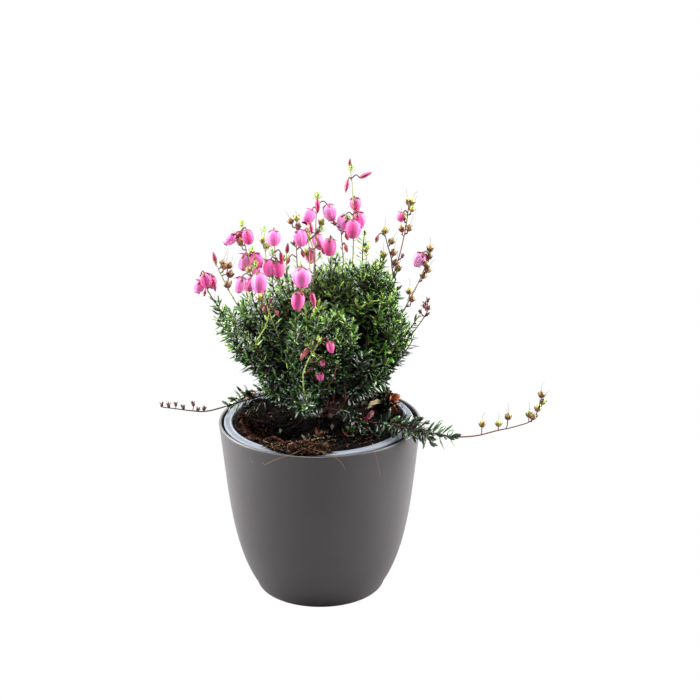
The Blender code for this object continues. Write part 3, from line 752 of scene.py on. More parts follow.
twig_finishes = [
    principled("twig_brown", (72, 44, 36), 0.75),
    principled("twig_red", (112, 62, 50), 0.7),
    principled("twig_green", (160, 172, 92), 0.6),
    principled("twig_grey", (146, 136, 106), 0.75),
    principled("pedicel_red", (104, 32, 36), 0.55),
]
BROWN, REDDISH, PALE_GREEN, GREY, CRIMSON = range(5)


def leaf_pattern():
    """One leaf lying along +X: length 1, half width 1, its edges rolled down, closed by its underside."""
    points = [(0, 0, 0)]
    for x, wide in LEAF_STATIONS:
        points += [(x, y * wide, z * wide) for y, z in LEAF_SECTION]
    points.append((1, 0, -0.1))
    last = len(points) - 1
    row = len(LEAF_SECTION)
    over = [(0, 1 + k + 1, 1 + k) for k in range(row - 1)]
    under = [(0, 1, row)]
    for station in range(len(LEAF_STATIONS) - 1):
        a = 1 + station * row
        b = a + row
        for k in range(row - 1):
            over += [(a + k, a + k + 1, b + k + 1), (a + k, b + k + 1, b + k)]
        under += [(a, b, b + row - 1), (a, b + row - 1, a + row - 1)]
    a = last - row
    over += [(a + k, a + k + 1, last) for k in range(row - 1)]
    under.append((a, last, last - 1))
    return np.array(points, dtype=float), np.array(over + under), len(over)


LEAF_POINTS, LEAF_TRIANGLES, LEAF_TOP_COUNT = leaf_pattern()


def spray(heap, origins, ways, tops, lengths, half_widths, curls, kinds, under=FELT):
    """Lay a leaf at every origin, along its way, its upper side towards tops; curls bends it back."""
    origins, ways, tops = (np.asarray(v, dtype=float) for v in (origins, ways, tops))
    lengths, half_widths, curls = (np.asarray(v, dtype=float)[:, None, None]
                                   for v in (lengths, half_widths, curls))
    ways = ways / np.linalg.norm(ways, axis=1)[:, None]
    tops = tops - ways * np.sum(tops * ways, axis=1)[:, None]
    tops = tops / (np.linalg.norm(tops, axis=1)[:, None] + 1e-9)
    sides = np.cross(tops, ways)
    x, y, z = (LEAF_POINTS[None, :, k, None] for k in range(3))
    laid = (origins[:, None] + ways[:, None] * x * lengths + sides[:, None] * y * half_widths
            + tops[:, None] * (z * half_widths - curls * lengths * x * x))
    count = len(origins)
    faces = LEAF_TRIANGLES[None] + np.arange(count)[:, None, None] * len(LEAF_POINTS)
    which = np.repeat(np.asarray(kinds)[:, None], len(LEAF_TRIANGLES), axis=1)
    which[:, LEAF_TOP_COUNT:] = under
    heap.add(laid.reshape(-1, 3), faces.reshape(-1, 3), which.ravel())


def along(line, distances):
    """Points and directions at distances from a line's first point."""
    line = np.asarray(line, dtype=float)
    walked = np.concatenate([[0], np.cumsum(np.linalg.norm(np.diff(line, axis=0), axis=1))])
    spots, ahead, before = (np.column_stack([np.interp(np.asarray(distances) + off, walked, line[:, k])
                                             for k in range(3)]) for off in (0.0, 0.5, -0.5))
    ways = ahead - before
    return spots, ways / (np.linalg.norm(ways, axis=1)[:, None] + 1e-9)


def length_of(line):
    """Length of a line of points."""
    return float(np.linalg.norm(np.diff(np.asarray(line), axis=0), axis=1).sum())


def leaf_along(heap, line, rng, youth_and_light, step=LEAF_STEP, longest=LEAF_LENGTH, leafy=LEAFY_LENGTH,
               spread=58, slimness=LEAF_SLIMNESS, droop=0.0):
    """Set a shoot with leaves in a spiral, from its tip (the line's last point) back. Its youth and light,
    from 0 to 1, says how many of its leaves are young and yellow-green; part of it is painted light, where a
    lit part of the plant is drawn with more young leaves."""
    line = np.asarray(line)[::-1]
    reach = min(leafy, length_of(line) * 0.94)
    back = np.arange(0.3, max(reach, 0.6), step)
    back = np.clip(back + rng.normal(0, 0.22, len(back)), 0, None)
    spots, ways = along(line, back)
    ways = -ways
    grown = np.clip(back / 5.5, 0, 1)
    aged = np.clip(back / (6 + 16 * youth_and_light), 0, 1)
    turn = GOLDEN_TURN * np.arange(len(back)) + rng.uniform(0, 360) + rng.normal(0, 14, len(back))
    turn = np.radians(turn)
    lean = np.radians(20 + (spread - 20) * grown ** 0.7 + rng.normal(0, 8, len(back)))
    side, other = across(ways[0])
    outward = np.outer(np.cos(turn), side) + np.outer(np.sin(turn), other)
    outward -= ways * np.sum(outward * ways, axis=1)[:, None]
    outward /= np.linalg.norm(outward, axis=1)[:, None]
    directions = ways * np.cos(lean)[:, None] + outward * np.sin(lean)[:, None]
    directions[:, 2] -= droop * grown
    lengths = longest * (0.52 + 0.48 * grown ** 0.8) * rng.uniform(0.82, 1.14, len(back))
    luck = rng.uniform(0, 1, len(back)) + 0.9 * aged * (1.2 - 0.7 * youth_and_light)
    kinds = np.where(luck < 0.22 * youth_and_light + 0.04, YOUNG, GREEN)
    kinds = np.where((kinds == GREEN) & (luck < 0.55 * youth_and_light + 0.16), FRESH, kinds)
    darkened = rng.uniform(0, 1, len(back)) < 0.35 + 0.5 * aged - 0.4 * youth_and_light
    kinds = np.where((kinds == GREEN) & darkened, OLD, kinds)
    half_widths = lengths * slimness * rng.uniform(0.85, 1.15, len(back))
    curls = rng.normal(0.02, 0.07, len(back))
    spray(heap, spots, directions, ways + (0, 0, 0.45), lengths, half_widths, curls, kinds)


def mass_trees():
    """The CAD masses as search trees, in millimetres."""
    trees = {}
    for name in MASSES:
        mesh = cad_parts["foliage_" + name].data
        mesh.calc_loop_triangles()
        corners = [v.co / MM for v in mesh.vertices]
        trees[name] = BVHTree.FromPolygons(corners, [tuple(t.vertices) for t in mesh.loop_triangles])
    return trees


def crown_outside(trees):
    """Directions from the root crown's head and how far out the leaves reach in each: the outside of all
    the masses together, evened out between neighbours. Directions that only graze a mass are left out."""
    k = np.arange(CROWN_WAYS) + 0.5
    lean = np.arccos(1 - k / CROWN_WAYS * (1 - math.cos(math.radians(CROWN_LOWEST))))
    turn = math.pi * (1 + 5 ** 0.5) * k
    ways = np.column_stack([np.sin(lean) * np.cos(turn), np.sin(lean) * np.sin(turn), np.cos(lean)])
    reach = np.zeros(len(ways))
    for i, way in enumerate(ways):
        for tree in trees.values():
            depth = tree.ray_cast(Vector(STEM_HEAD_AT + way * OUTSIDE), Vector(-way))[3]
            if depth is not None:
                reach[i] = max(reach[i], OUTSIDE - depth)
    apart = np.degrees(np.arccos(np.clip(ways @ ways.T, -1, 1)))
    near = np.exp(-(apart / CROWN_EVENING) ** 2)
    met = reach > 0
    total = near[:, met].sum(axis=1)
    evened = (near[:, met] @ reach[met] ** 3 / (total + 1e-9)) ** (1 / 3)
    kept = total > 0.5 * near.sum(axis=1)
    return ways[kept], evened[kept] * CROWN_GROWN


def in_outline(place):
    """Whether the camera sees a place inside the crown's outline."""
    eye = np.array(CAMERA_PLACE)
    x, _, z = eye + (place - eye) * eye[1] / (eye[1] - place[1])
    inside = False
    for (x0, z0), (x1, z1) in zip(OUTLINE, OUTLINE[1:] + OUTLINE[:1]):
        if (z0 > z) != (z1 > z) and x < x0 + (x1 - x0) * (z - z0) / (z1 - z0):
            inside = not inside
    return inside


def shoot_tips(rng):
    """Where the crown's shoots end, for each mass: evenly spread over the crown's outside and drawn in until
    they are inside its outline. It gives (tip, direction)."""
    trees = mass_trees()
    tips = {name: [] for name in MASSES}
    taken = np.full((1, 3), 10 * OUTSIDE)
    ways, reach = crown_outside(trees)
    for i in rng.permutation(len(ways)):
        way = ways[i] + rng.normal(0, 0.012, 3)
        place = STEM_HEAD_AT + way * reach[i]
        name = min(trees, key=lambda key: trees[key].find_nearest(Vector(place))[3])
        crowded = np.linalg.norm(taken - place, axis=1).min() < THIN.get(name, TIP_SPACING)
        if crowded or np.linalg.norm(place - OPENING[0]) < OPENING[1]:
            continue
        taken = np.vstack([taken, place])
        place = place - way * rng.uniform(0, TIP_DEPTH)
        margin = rng.uniform(-3.5, 9)
        for _ in range(12):
            if in_outline(place + way * margin):
                break
            place = place - way * DRAW_IN
        else:
            continue
        way = way * 0.8 + rng.normal(0, 0.12, 3) + np.array((0, 0, 0.25 if place[2] > 150 else 0.05))
        tips[name].append((place, way / np.linalg.norm(way)))
    return tips


def branch(skeleton, tip, way):
    """A twig that arrives at its tip along way. It leaves the skeleton, the limb with the twigs so far, where
    the run is short, its turn is slight and the shoot is long enough, and then joins the skeleton."""
    spots = np.array([s for s, _ in skeleton])
    ways = np.array([w for _, w in skeleton])
    runs = tip - spots
    lengths = np.linalg.norm(runs, axis=1)
    turns = np.sum(runs * ways, axis=1) / (lengths + 1e-9)
    cost = 0.3 * lengths + 45 * (1 - turns) + 60 * (lengths < SHOOT_LENGTH)
    best = int(np.argmin(cost))
    start, leaving, length = spots[best], ways[best], lengths[best]
    line = curve(start, start + leaving * length * 0.32, tip - way * length * 0.38, tip, 9)
    spots, ways = along(line, np.linspace(0.2, 0.62, 5) * length_of(line))
    skeleton += list(zip(spots, ways))
    return line


def brightness_at(place):
    """How young the growth is drawn: the crown's top and flanks get more young yellow-green leaves and its
    foot more old dark ones. This is partly real young growth and partly painted light and shade: the lit top
    is drawn lighter and the shaded foot darker.
    """
    return float(np.clip((place[2] - 140) / 60 + abs(place[0] - 5) / 300, 0.08, 1.0))


REGIONS = {
    "left": ("left", "left_low", "left_top"),
    "front": ("front", "front_low", "centre_top"),
    "right": ("right_top", "right", "right_low"),
    "back": ("back_left", "back", "back_right"),
}
crown_rng = np.random.default_rng(4)
tips = shoot_tips(crown_rng)
twigs = Heap()
for region, masses in REGIONS.items():
    leaves = Heap()
    for name in masses:
        line = bough_line(name)
        spots, ways = along(line, np.linspace(0.3, 1.0, 10) * length_of(line))
        skeleton = list(zip(spots, ways))
        for tip, way in sorted(tips[name], key=lambda t: np.linalg.norm(t[0] - STEM_HEAD_AT)):
            twig = branch(skeleton, tip, way)
            # Partly painted light: lit parts of the crown are drawn with more young, lighter leaves, and
            # shaded parts with more old, darker ones.
            young_and_lit = brightness_at(tip)
            points, triangles = tube(twig, np.linspace(TWIG_BASE, TWIG_TIP, len(twig)), 5)
            share = np.arange(len(triangles)) / len(triangles)
            finish = np.where(share < 0.45, BROWN, np.where(share < 0.8, REDDISH, PALE_GREEN))
            twigs.add(points, triangles, finish)
            leaf_along(leaves, twig, crown_rng, young_and_lit, longest=LEAF_LENGTH - TOP_LEAF_SHORTER * young_and_lit)
    hand_over(leaves.join("leaves_" + region, leaf_finishes), "leaf", *("foliage_" + name for name in masses))

# Single shoots
# A few shoots stand clear of the crown: slim leafy ones above it, the broad-leaved rosette low in front, and
# bare red twigs at the foot.
SINGLE_SHOOTS = (       # points from foot to tip, longest leaf, leafy stretch, youth and light, half width share
    # The high youth of the shoots above the crown is partly real young growth and partly painted light:
    # nearly all their leaves are drawn young and lighter, for the light that shines through them.
    (((27, 4, 205), (27, 4, 218), (27.5, 4, 229), (28.4, 4, 237)), 5.8, 26, 1.7, 0.2),
    (((0, -22, 132), (-4, -33, 135), (-7.6, -40, 141), (-8.2, -42.5, 147)), 8.0, 13, 0.35, 0.19),
    (((14, -10, 140), (20, -20, 150), (25, -26, 160), (28, -28, 168)), 9.5, 16, 0.0, 0.22),
    (((38, -2, 156), (48, -4, 167), (56, -5, 176), (62, -5, 185)), 6.8, 32, 0.75, 0.14),
    (((40, -8, 150), (49, -9, 158), (55, -9, 165), (59, -9, 172)), 7.0, 26, 0.6, 0.14),
    (((-12, -22, 160), (-14, -32, 172), (-14, -38, 184), (-14, -40, 192)), 6.4, 34, 0.8, 0.14),
    (((6, 0, 205), (7, 0, 214), (7, 0, 222)), 6.0, 18, 1.3, 0.18),
    (((37, 4, 205), (38, 4, 215), (38.6, 4, 224)), 6.0, 18, 1.3, 0.18),
    (((10, 4, 142), (19, 4, 156), (25, 3, 168), (28, 2, 180)), 8.4, 34, 0.2, 0.19),
    (((12, 6, 134), (21, 6, 146), (28, 5, 157), (32, 4, 168)), 8.4, 34, 0.2, 0.19),
    (((12, 2, 150), (19, 2, 166), (24, 1, 180), (26, 0, 193)), 8.0, 34, 0.3, 0.19),
    (((8, 12, 116), (12, 4, 119), (17, -2, 120), (22, -5, 118)), 8.2, 14, 0.1, 0.19),
    (((10, 8, 116), (16, -4, 118), (22, -12, 118), (26, -17, 115.5)), 8.0, 14, 0.1, 0.19),
    (((-20, -4, 186), (-25, -6, 196), (-28, -8, 204), (-29, -8, 211)), 7.0, 26, 1.0, 0.18),
    (((-16, -3, 190), (-21, -4, 200), (-24, -6, 208), (-24.8, -6, 214)), 7.0, 26, 1.1, 0.18),
    (((-14, 0, 190), (-18, -1, 200), (-20, -2, 208), (-20.6, -2, 216)), 7.0, 26, 1.1, 0.18),
    (((-24, -8, 180), (-30, -10, 191), (-33, -12, 200), (-34, -12, 207)), 7.0, 26, 0.9, 0.18),
    (((-10, -12, 190), (-14, -14, 200), (-16, -16, 208), (-16.4, -16, 213)), 7.0, 26, 1.1, 0.18),
    (((-32, -6, 178), (-38, -7, 189), (-41, -8, 197), (-41.7, -8, 203)), 7.0, 26, 0.8, 0.18),
    (((-8, 2, 194), (-10, 3, 204), (-12, 4, 211), (-12, 4, 216)), 7.0, 26, 1.1, 0.18),
    (((30, 0, 196), (33, -3, 206), (35, -6, 214), (35.5, -6, 220)), 7.0, 26, 1.1, 0.18),
    (((4, -1, 200), (8, -2, 210), (10, -2, 217), (10.6, -2, 223)), 6.8, 24, 1.2, 0.18),
)
BARE_TWIGS = (
    ((4, 6, 120), (6, -4, 124), (9, -12, 134), (8, -18, 148)),
    ((5, 5, 119), (10, -6, 122), (15, -12, 130), (20, -16, 142)),
    ((3, 8, 119), (3, -6, 122), (4, -16, 128), (6, -24, 138)),
    ((2, -4, 122), (2, -20, 138), (4, -28, 145), (9, -34, 155), (11, -37, 165)),
    ((6, 6, 119), (12, -8, 124), (16, -18, 134), (16, -24, 146)),
    ((0, 8, 119), (-3, -4, 126), (-2, -14, 136), (2, -20, 150)),
    ((8, 12, 120), (16, 6, 128), (24, 0, 140), (28, -4, 156)),
)
single_rng = np.random.default_rng(21)
single_leaves = Heap()
for line, longest, leafy, young_and_lit, slimness in SINGLE_SHOOTS:
    line = bend(line, 5)
    twigs.stalk(line, 0.5, 0.3, 5, BROWN)
    leaf_along(single_leaves, line, single_rng, young_and_lit, longest=longest, leafy=leafy, slimness=slimness)
for line in BARE_TWIGS:
    twigs.stalk(bend(line, 5), 0.75, 0.45, 6, REDDISH)
hand_over(single_leaves.join("leaves_single_shoots", leaf_finishes), "leaf")
hand_over(twigs.join("twigs", twig_finishes), "bark")

# Low shoots over the rim
# Two long old shoots lie out over the pots' rims, one to each side. Each is leafy along its middle and ends
# in a bare wiry stalk that carries ripe seed capsules.
RIGHT_LEAFY = ((33.3, -14.2, 117.1), (44, -25, 121.0), (56, -33, 121.8), (69, -37, 120.0), (83, -38, 117.3))
LEFT_LEAFY = ((-22.3, 10.3, 127.6), (-33, 7, 129), (-43, 4, 127.5), (-60, 0, 123.4))
RUNNER_SIDES = (        # side sprigs of the low shoots
    ((44, -25, 121), (52, -34, 122.5), (60, -40, 120.5)),
    ((56, -33, 121.8), (63, -40, 121), (70, -45, 116)),
    ((50, -29, 121.4), (58, -28, 123), (66, -26, 122)),
    ((-30, 8, 128.2), (-38, 1, 125.6), (-46, -3, 121.6)),
    ((-24, 10, 127.8), (-32, 14, 130), (-42, 15, 128)),
    ((-40, 5, 128), (-48, 8, 128), (-57, 8, 125)),
)
runner_rng = np.random.default_rng(8)
runner_leaves = Heap()
runner_wood = Heap()
for line, longest in ((RIGHT_LEAFY, 9.8), (LEFT_LEAFY, 8.0)):
    line = bend(line, 6)
    runner_wood.stalk(line, 0.7, 0.5, 6, BROWN)
    leaf_along(runner_leaves, line, runner_rng, 0.45, step=1.15, longest=longest, leafy=80, spread=62,
               slimness=0.2, droop=0.15)
for line in RUNNER_SIDES:
    line = bend(line, 5)
    runner_wood.stalk(line, 0.5, 0.3, 5, REDDISH)
    leaf_along(runner_leaves, line, runner_rng, 0.25, step=1.15, longest=8.0, leafy=22, slimness=0.19,
               droop=0.2)
hand_over(runner_leaves.join("leaves_low_shoots", leaf_finishes), "leaf", "foliage_runner_right",
          "foliage_runner_left")
hand_over(runner_wood.join("low_shoot_twigs", twig_finishes), "bark")

# Flower stalks
# Thin upright stalks rise out of the crown, pale green while in bloom, and wiry and brown once they carry
# seed. Small bracts stand on them above the leaves, and a brown stem leads from each to the root crown.
SPIKE_BOW = 9.0
STALK_POINTS = 26
TWIG_NEAR = 6.0             # a stalk enters the crown where a shoot's tip is this near
STALK_SHOWS = 14.0          # it keeps its own finish so far below that place
BRACT_SPACING = 4.0
SPIKES = {      # compass, lean and length of the line to the tip, as in the frame, then the stalk's finish
    "tall": (325, 7, 163, PALE_GREEN),
    "tall_left": (250, 4, 139, GREY),
    "centre": (286, 9, 117, PALE_GREEN),
    "centre_left": (232, 11, 132, GREY),
    "left_inner": (219, 18, 124, PALE_GREEN),
    "left_middle": (195, 18, 123, PALE_GREEN),
    "left_high": (196, 23, 133, GREY),
    "left_outer": (190, 34, 126, PALE_GREEN),
    "left_end": (193, 41, 120, BROWN),
    "left_front": (215, 27, 121, PALE_GREEN),
    "front_left": (229, 31, 112, PALE_GREEN),
    "front": (256, 26, 118, PALE_GREEN),
    "right_tall": (345, 22, 147, REDDISH),
    "right_thin": (338, 21, 115, PALE_GREEN),
    "right_outer": (348, 33, 126, GREY),
    "right_low": (340, 45, 99, REDDISH),
    "back": (110, 14, 116, PALE_GREEN),
    "back_left": (160, 27, 108, PALE_GREEN),
    "back_right": (48, 24, 104, GREY),
}
FRONT_STALK = ((0.2, -44.0, 182.9), (-0.3, -44.5, 179.8), (-5.0, -44.5, 172.2), (-8.7, -44.0, 163.8),
               (-9.4, -42.0, 159.0), (-8.6, -38.0, 144.0), (-5.0, -27.0, 137.0))
RIGHT_STALK = ((138.5, -30, 140), (134, -31, 127), (124, -33, 122.8), (112, -35, 120.6), (97, -38, 118),
               (83.4, -38, 117.3))
LEFT_STALK = ((-101.5, 0, 122.8), (-82, 0, 120), (-72, 0, 120), (-60.4, 0, 123.3))
SIDE_STALKS = {     # finer stalks beside the spikes, from the tip down
    "upright_bud": (((-20, -4, 226), (-20, -4, 221), (-19, -4, 202)), GREY),
    "small_buds": (
        ((-29, -34, 203), (-30, -33, 197), (-33, -30, 186), (-38, -25, 176), (-39, -20, 170)), PALE_GREEN),
    "faded": (((-6, -8, 237), (-4, -8, 232), (-3, -8, 222), (-4, -8, 204)), GREY),
    "crimson_bits": (((13, 0, 243), (14, 0, 236), (15, 0, 219), (14, 0, 206)), GREY),
    "right_fork": (((41, -3, 238), (43, -2, 230), (45, -1, 222), (46, 1, 213), (48, 3, 207)), BROWN),
}


def spike_line(name):
    """A flower spike's line from its tip down into the mass it grows from."""
    heading, lean, reach, _ = SPIKES[name]
    tip = STEM_HEAD_AT + compass(heading, lean) * reach
    foot = STEM_HEAD_AT + compass(heading, lean + SPIKE_BOW) * reach * 0.45
    pull = STEM_HEAD_AT + compass(heading, lean + SPIKE_BOW * 0.55) * reach * 0.80
    return arched(tip, pull, foot, 28)


stalk_lines = {name: (spike_line(name), SPIKES[name][3]) for name in SPIKES}
stalk_lines["front_low"] = (bend(FRONT_STALK, 5), PALE_GREEN)
stalk_lines["runner_right"] = (bend(RIGHT_STALK, 6), REDDISH)
stalk_lines["runner_left"] = (bend(LEFT_STALK, 6), BROWN)
for name, (line, finish) in SIDE_STALKS.items():
    stalk_lines[name] = (bend(line, 6), finish)

# What hangs on each stalk: its kind, how far below the stalk's tip it leaves, at which compass, how far out
# it reaches and its length, then a lean, a lift or a width of its own.
FLOWERS = {
    "tall": (
        ("rise", 3.5, 90, 0.2, 5.0), ("tuft", 5.6, 330, 0.7, 4.0), ("bud", 11, 0, 5, 8.5, {"lean": 112}),
        ("bud", 12, 220, 3, 8.0), ("deep", 24.5, 75, 4, 9.5, {"width": 7.0}), ("bell", 33.5, 50, 4, 10.3),
        ("deep", 36.5, 265, 4, 11.5, {"width": 9.9}), ("pale", 34.5, 175, 5, 10.3),
        ("tuft", 40, 205, 4.5, 5.0)),
    "tall_left": (
        ("tuft", 0, 90, 0, 5.0), ("bud", 1.5, 275, 2, 9.0), ("bell", 8, 230, 4, 9.9, {"lean": 40}),
        ("pale", 5, 345, 7, 10.3), ("seed", 20.5, 0, 4, 5.0), ("tuft", 24, 15, 4, 4.5)),
    "centre": (("deep", 1, 260, 3, 10.8, {"width": 8.4}), ("tuft", 12, 20, 2, 4.0)),
    "centre_left": (
        ("seed", 4, 265, 2, 4.6), ("seed", 8, 185, 4, 4.6), ("seed", 10.5, 60, 2, 4.6),
        ("bell", 9, 300, 3, 10.3), ("dry", 20, 240, 3, 3.6), ("spent", 22, 330, 4, 5.0),
        ("spent", 27, 200, 5, 4.6), ("tuft", 16, 20, 4, 4.4)),
    "left_inner": (
        ("bell", 0.5, 270, 3, 9.5, {"lift": 4.5, "width": 8.6}), ("bell", 15.5, 225, 4, 10.3),
        ("deep", 16, 290, 4, 10.3), ("bud", 11, 335, 4, 8.0), ("tuft", 13, 215, 2, 4.5),
        ("spent", 22, 200, 5, 4.4), ("tuft", 20, 20, 5, 4.4)),
    "left_middle": (
        ("tuft", 0, 90, 0, 4.0), ("seed", 9.5, 130, 2, 4.5), ("seed", 14, 80, 2, 4.5),
        ("spent", 20, 200, 3, 4.5), ("tuft", 12, 330, 3, 4.4), ("spent", 24, 350, 4, 4.4)),
    "left_high": (
        ("tuft", 0, 90, 0, 4.5), ("pale", 7, 180, 5, 9.0, {"lean": 48}), ("deep", 6, 125, 3, 8.1),
        ("deep", 3.5, 310, 4, 9.0, {"width": 7.2}), ("seed", 14, 200, 3, 4.0), ("seed", 17, 190, 4, 3.6)),
    "left_outer": (
        ("rise", 10.5, 125, 2, 8.0), ("seed", 12, 25, 3, 4.0), ("seed", 15, 5, 3, 5.0),
        ("seed", 17, 20, 6, 5.0), ("seed", 22, 30, 4, 5.5), ("seed", 27.5, 265, 3, 5.5)),
    "left_end": (
        ("deep", 0.5, 340, 3, 9.5, {"lift": 2}), ("bell", 1.5, 30, 6, 8.6),
        ("bell", 6, 125, 4, 9.0, {"lean": 25}), ("bud", 4.5, 350, 7, 7.0), ("spent", 11, 240, 3, 4.0)),
    "left_front": (
        ("bell", 0.5, 40, 3, 9.9, {"lean": 28, "width": 8.9}), ("pale", 1.5, 130, 5, 9.9),
        ("pale", 16, 175, 8, 9.9), ("seed", 14, 200, 3, 4.0), ("tuft", 10, 300, 5, 4.4),
        ("spent", 21, 320, 6, 4.4)),
    "front_left": (
        ("bell", 0.5, 265, 3, 12.2, {"lift": 5, "width": 9.7}), ("seed", 19.5, 185, 5, 5.0),
        ("dry", 26, 175, 5, 3.5)),
    "front": (
        ("bell", 1, 275, 3, 11.7, {"width": 11.9, "lean": 4}), ("deep", 17.5, 235, 4, 11.0, {"width": 8.4}),
        ("bud", 19, 0, 5, 10.0), ("tuft", 14, 200, 6, 4.6), ("spent", 24, 190, 6, 4.4)),
    "front_low": (
        ("tuft", 0, 90, 0, 4.5), ("deep", 2.5, 350, 7, 7.0, {"lift": 2, "width": 4.6}),
        # The deep bells 15 and 25 mm down take the dark magenta kind as painted shade, for the shade inside
        # the crown where they hang.
        ("spent", 6, 185, 5, 5.0), ("spent", 9, 200, 6, 4.5), ("deep", 15, 40, 11, 4.6, {"lift": -1.5}),
        ("deep", 25, 35, 12, 6.0, {"lift": -1})),
    "right_tall": (
        ("seed", 3.5, 35, 2, 5.0), ("seed", 2, 110, 2, 3.6), ("seed", 8, 350, 3, 4.6),
        ("deep", 7, 200, 3, 5.6, {"width": 5.6, "lean": 30}), ("seed", 13, 230, 3, 5.0),
        ("seed", 22, 115, 3, 5.0), ("seed", 20.5, 340, 3, 5.0), ("dry", 38.5, 330, 4, 3.2),
        ("seed", 48, 345, 3, 5.0)),
    "right_thin": (("seed", 7, 95, 0.6, 5.0),),
    "right_outer": (
        ("seed", 3, 75, 2, 5.0), ("seed", 8, 35, 2, 5.0),
        ("pale", 3, 155, 4, 9.5, {"lean": 30, "width": 8.7}), ("seed", 12.5, 290, 2, 4.5),
        ("seed", 19, 350, 5, 5.0), ("seed", 22, 350, 3, 5.0), ("seed", 37, 80, 5, 5.0),
        ("seed", 41, 350, 5, 5.0)),
    "right_low": (
        ("dry", 0, 95, 6, 3.4), ("dry", 0.5, 115, 4, 3.4), ("dry", 1.5, 130, 3, 3.4),
        ("dry", 0.5, 290, 2, 3.4), ("dry", 5.5, 160, 3, 3.4), ("dry", 6, 335, 2, 3.4)),
    "back": (
        ("bud", 1, 60, 2, 8.0), ("bell", 6, 120, 4, 10.3), ("bell", 9, 20, 5, 9.9),
        ("deep", 19, 80, 4, 9.5), ("seed", 24, 150, 3, 4.8)),
    "back_left": (
        ("tuft", 0, 90, 0, 4.5), ("bell", 4, 150, 5, 9.9), ("pale", 9, 80, 4, 9.9),
        ("deep", 18, 190, 4, 9.5), ("seed", 23, 110, 3, 4.8)),
    "back_right": (
        ("tuft", 0, 90, 0, 5.0), ("seed", 6, 100, 3, 4.8), ("bell", 16, 60, 4, 10.3),
        ("bell", 22, 20, 5, 9.9)),
    "runner_right": (
        ("seed", 0, 200, 0.3, 5.0), ("seed", 6, 0, 2.4, 4.6), ("seed", 12, 60, 3, 5.2),
        ("seed", 17, 300, 3, 5.0), ("seed", 18, 80, 3, 5.0), ("seed", 33, 70, 6, 5.0),
        ("seed", 38, 80, 2.5, 4.6), ("seed", 49, 80, 5, 5.0)),
    "runner_left": (
        ("dry", 0, 90, 0.3, 3.6), ("dry", 5, 250, 1.6, 3.6), ("dry", 9, 90, 2, 3.6),
        ("dry", 15, 240, 2, 3.6), ("dry", 20, 80, 4, 4.0), ("dry", 23, 265, 1.5, 3.6),
        ("dry", 28, 240, 2.4, 3.4)),
    "upright_bud": (("rise", 0, 0, 0.1, 7.0),),
    "small_buds": (("dry", 0, 90, 0.3, 4.0), ("spent", 3, 180, 3, 3.6), ("spent", 5, 350, 4, 4.0)),
    "faded": (
        ("tuft", 0, 90, 0, 4.5), ("dry", 1, 10, 6, 4.0), ("spent", 8, 20, 6, 4.6), ("tuft", 16, 30, 4, 4.0)),
    "crimson_bits": (
        ("dry", 0, 90, 0.3, 3.0), ("dry", 2, 200, 4, 4.2), ("spent", 6, 20, 3, 5.0),
        ("spent", 13, 340, 2, 5.0)),
    "right_fork": (
        ("seed", 0, 90, 0.3, 5.0), ("spent", 1.5, 190, 5, 4.5), ("seed", 8, 20, 1.5, 5.0),
        ("seed", 16, 10, 1.5, 5.0), ("seed", 23, 350, 1.5, 5.0)),
}

stalk_rng = np.random.default_rng(17)
stalks = Heap()
bracts = Heap()
every_tip = np.array([tip for several in tips.values() for tip, _ in several])
LEAFLESS = {"front_low": 57.0, "small_buds": 30.0, "front_left": 29.0}     # these stay bare so far down
for name, (line, finish) in stalk_lines.items():
    low_shoot = name.startswith("runner")
    total = length_of(line)
    first = min(row[1] for row in FLOWERS[name])
    lowest = max(row[1] for row in FLOWERS[name]) + 3
    stations = np.linspace(first, total, STALK_POINTS)
    spots, _ = along(line, stations)
    side, other = across(spots[-1] - spots[0])
    wander = np.cumsum(stalk_rng.normal(0, 0.05, (STALK_POINTS, 2)), axis=0)
    wander -= np.linspace(0, 1, STALK_POINTS)[:, None] * wander[-1]
    spots = spots + np.outer(wander[:, 0], side) + np.outer(wander[:, 1], other)
    gaps = np.linalg.norm(spots[:, None] - every_tip[None], axis=2).min(axis=1)
    leafless = stations[np.argmax(gaps < TWIG_NEAR)] if (gaps < TWIG_NEAR).any() else 0.7 * total
    leafless = total if low_shoot else LEAFLESS.get(name, leafless)
    points, triangles = tube(spots, np.linspace(0.3, 0.5, STALK_POINTS), 6)
    share = first + (total - first) * np.arange(len(triangles)) / len(triangles)
    stalks.add(points, triangles, np.where(share < leafless + STALK_SHOWS, finish, BROWN))
    if low_shoot:
        continue
    bow = (spots[-1] + STEM_HEAD_AT) / 2 + (spots[-1] - STEM_HEAD_AT) * (1, 1, 0) * 0.12
    stalks.stalk(bend([spots[-1], bow, STEM_HEAD_AT], 6), 0.5, 0.75, 6, BROWN)
    if name == "right_low" or total - lowest < 8:
        continue
    down = np.arange(lowest, max(leafless, lowest + 1), BRACT_SPACING)
    spots, ways = along(line, down)
    turn = np.radians(GOLDEN_TURN * np.arange(len(down)) + stalk_rng.uniform(0, 360))
    outward = np.column_stack([np.cos(turn), np.sin(turn), np.full(len(down), 0.9)])
    sizes = stalk_rng.uniform(2.6, 4.4, len(down))
    kinds = stalk_rng.choice((FRESH, YOUNG, GREEN), len(down))
    spray(bracts, spots, outward, -ways, sizes, sizes * 0.16, np.full(len(down), -0.05), kinds, FRESH)
    foot = along(line, np.linspace(total, min(leafless + 1, total - 1), 12))[0]
    leaf_along(bracts, foot, stalk_rng, 0.6, longest=6.6, leafy=60)

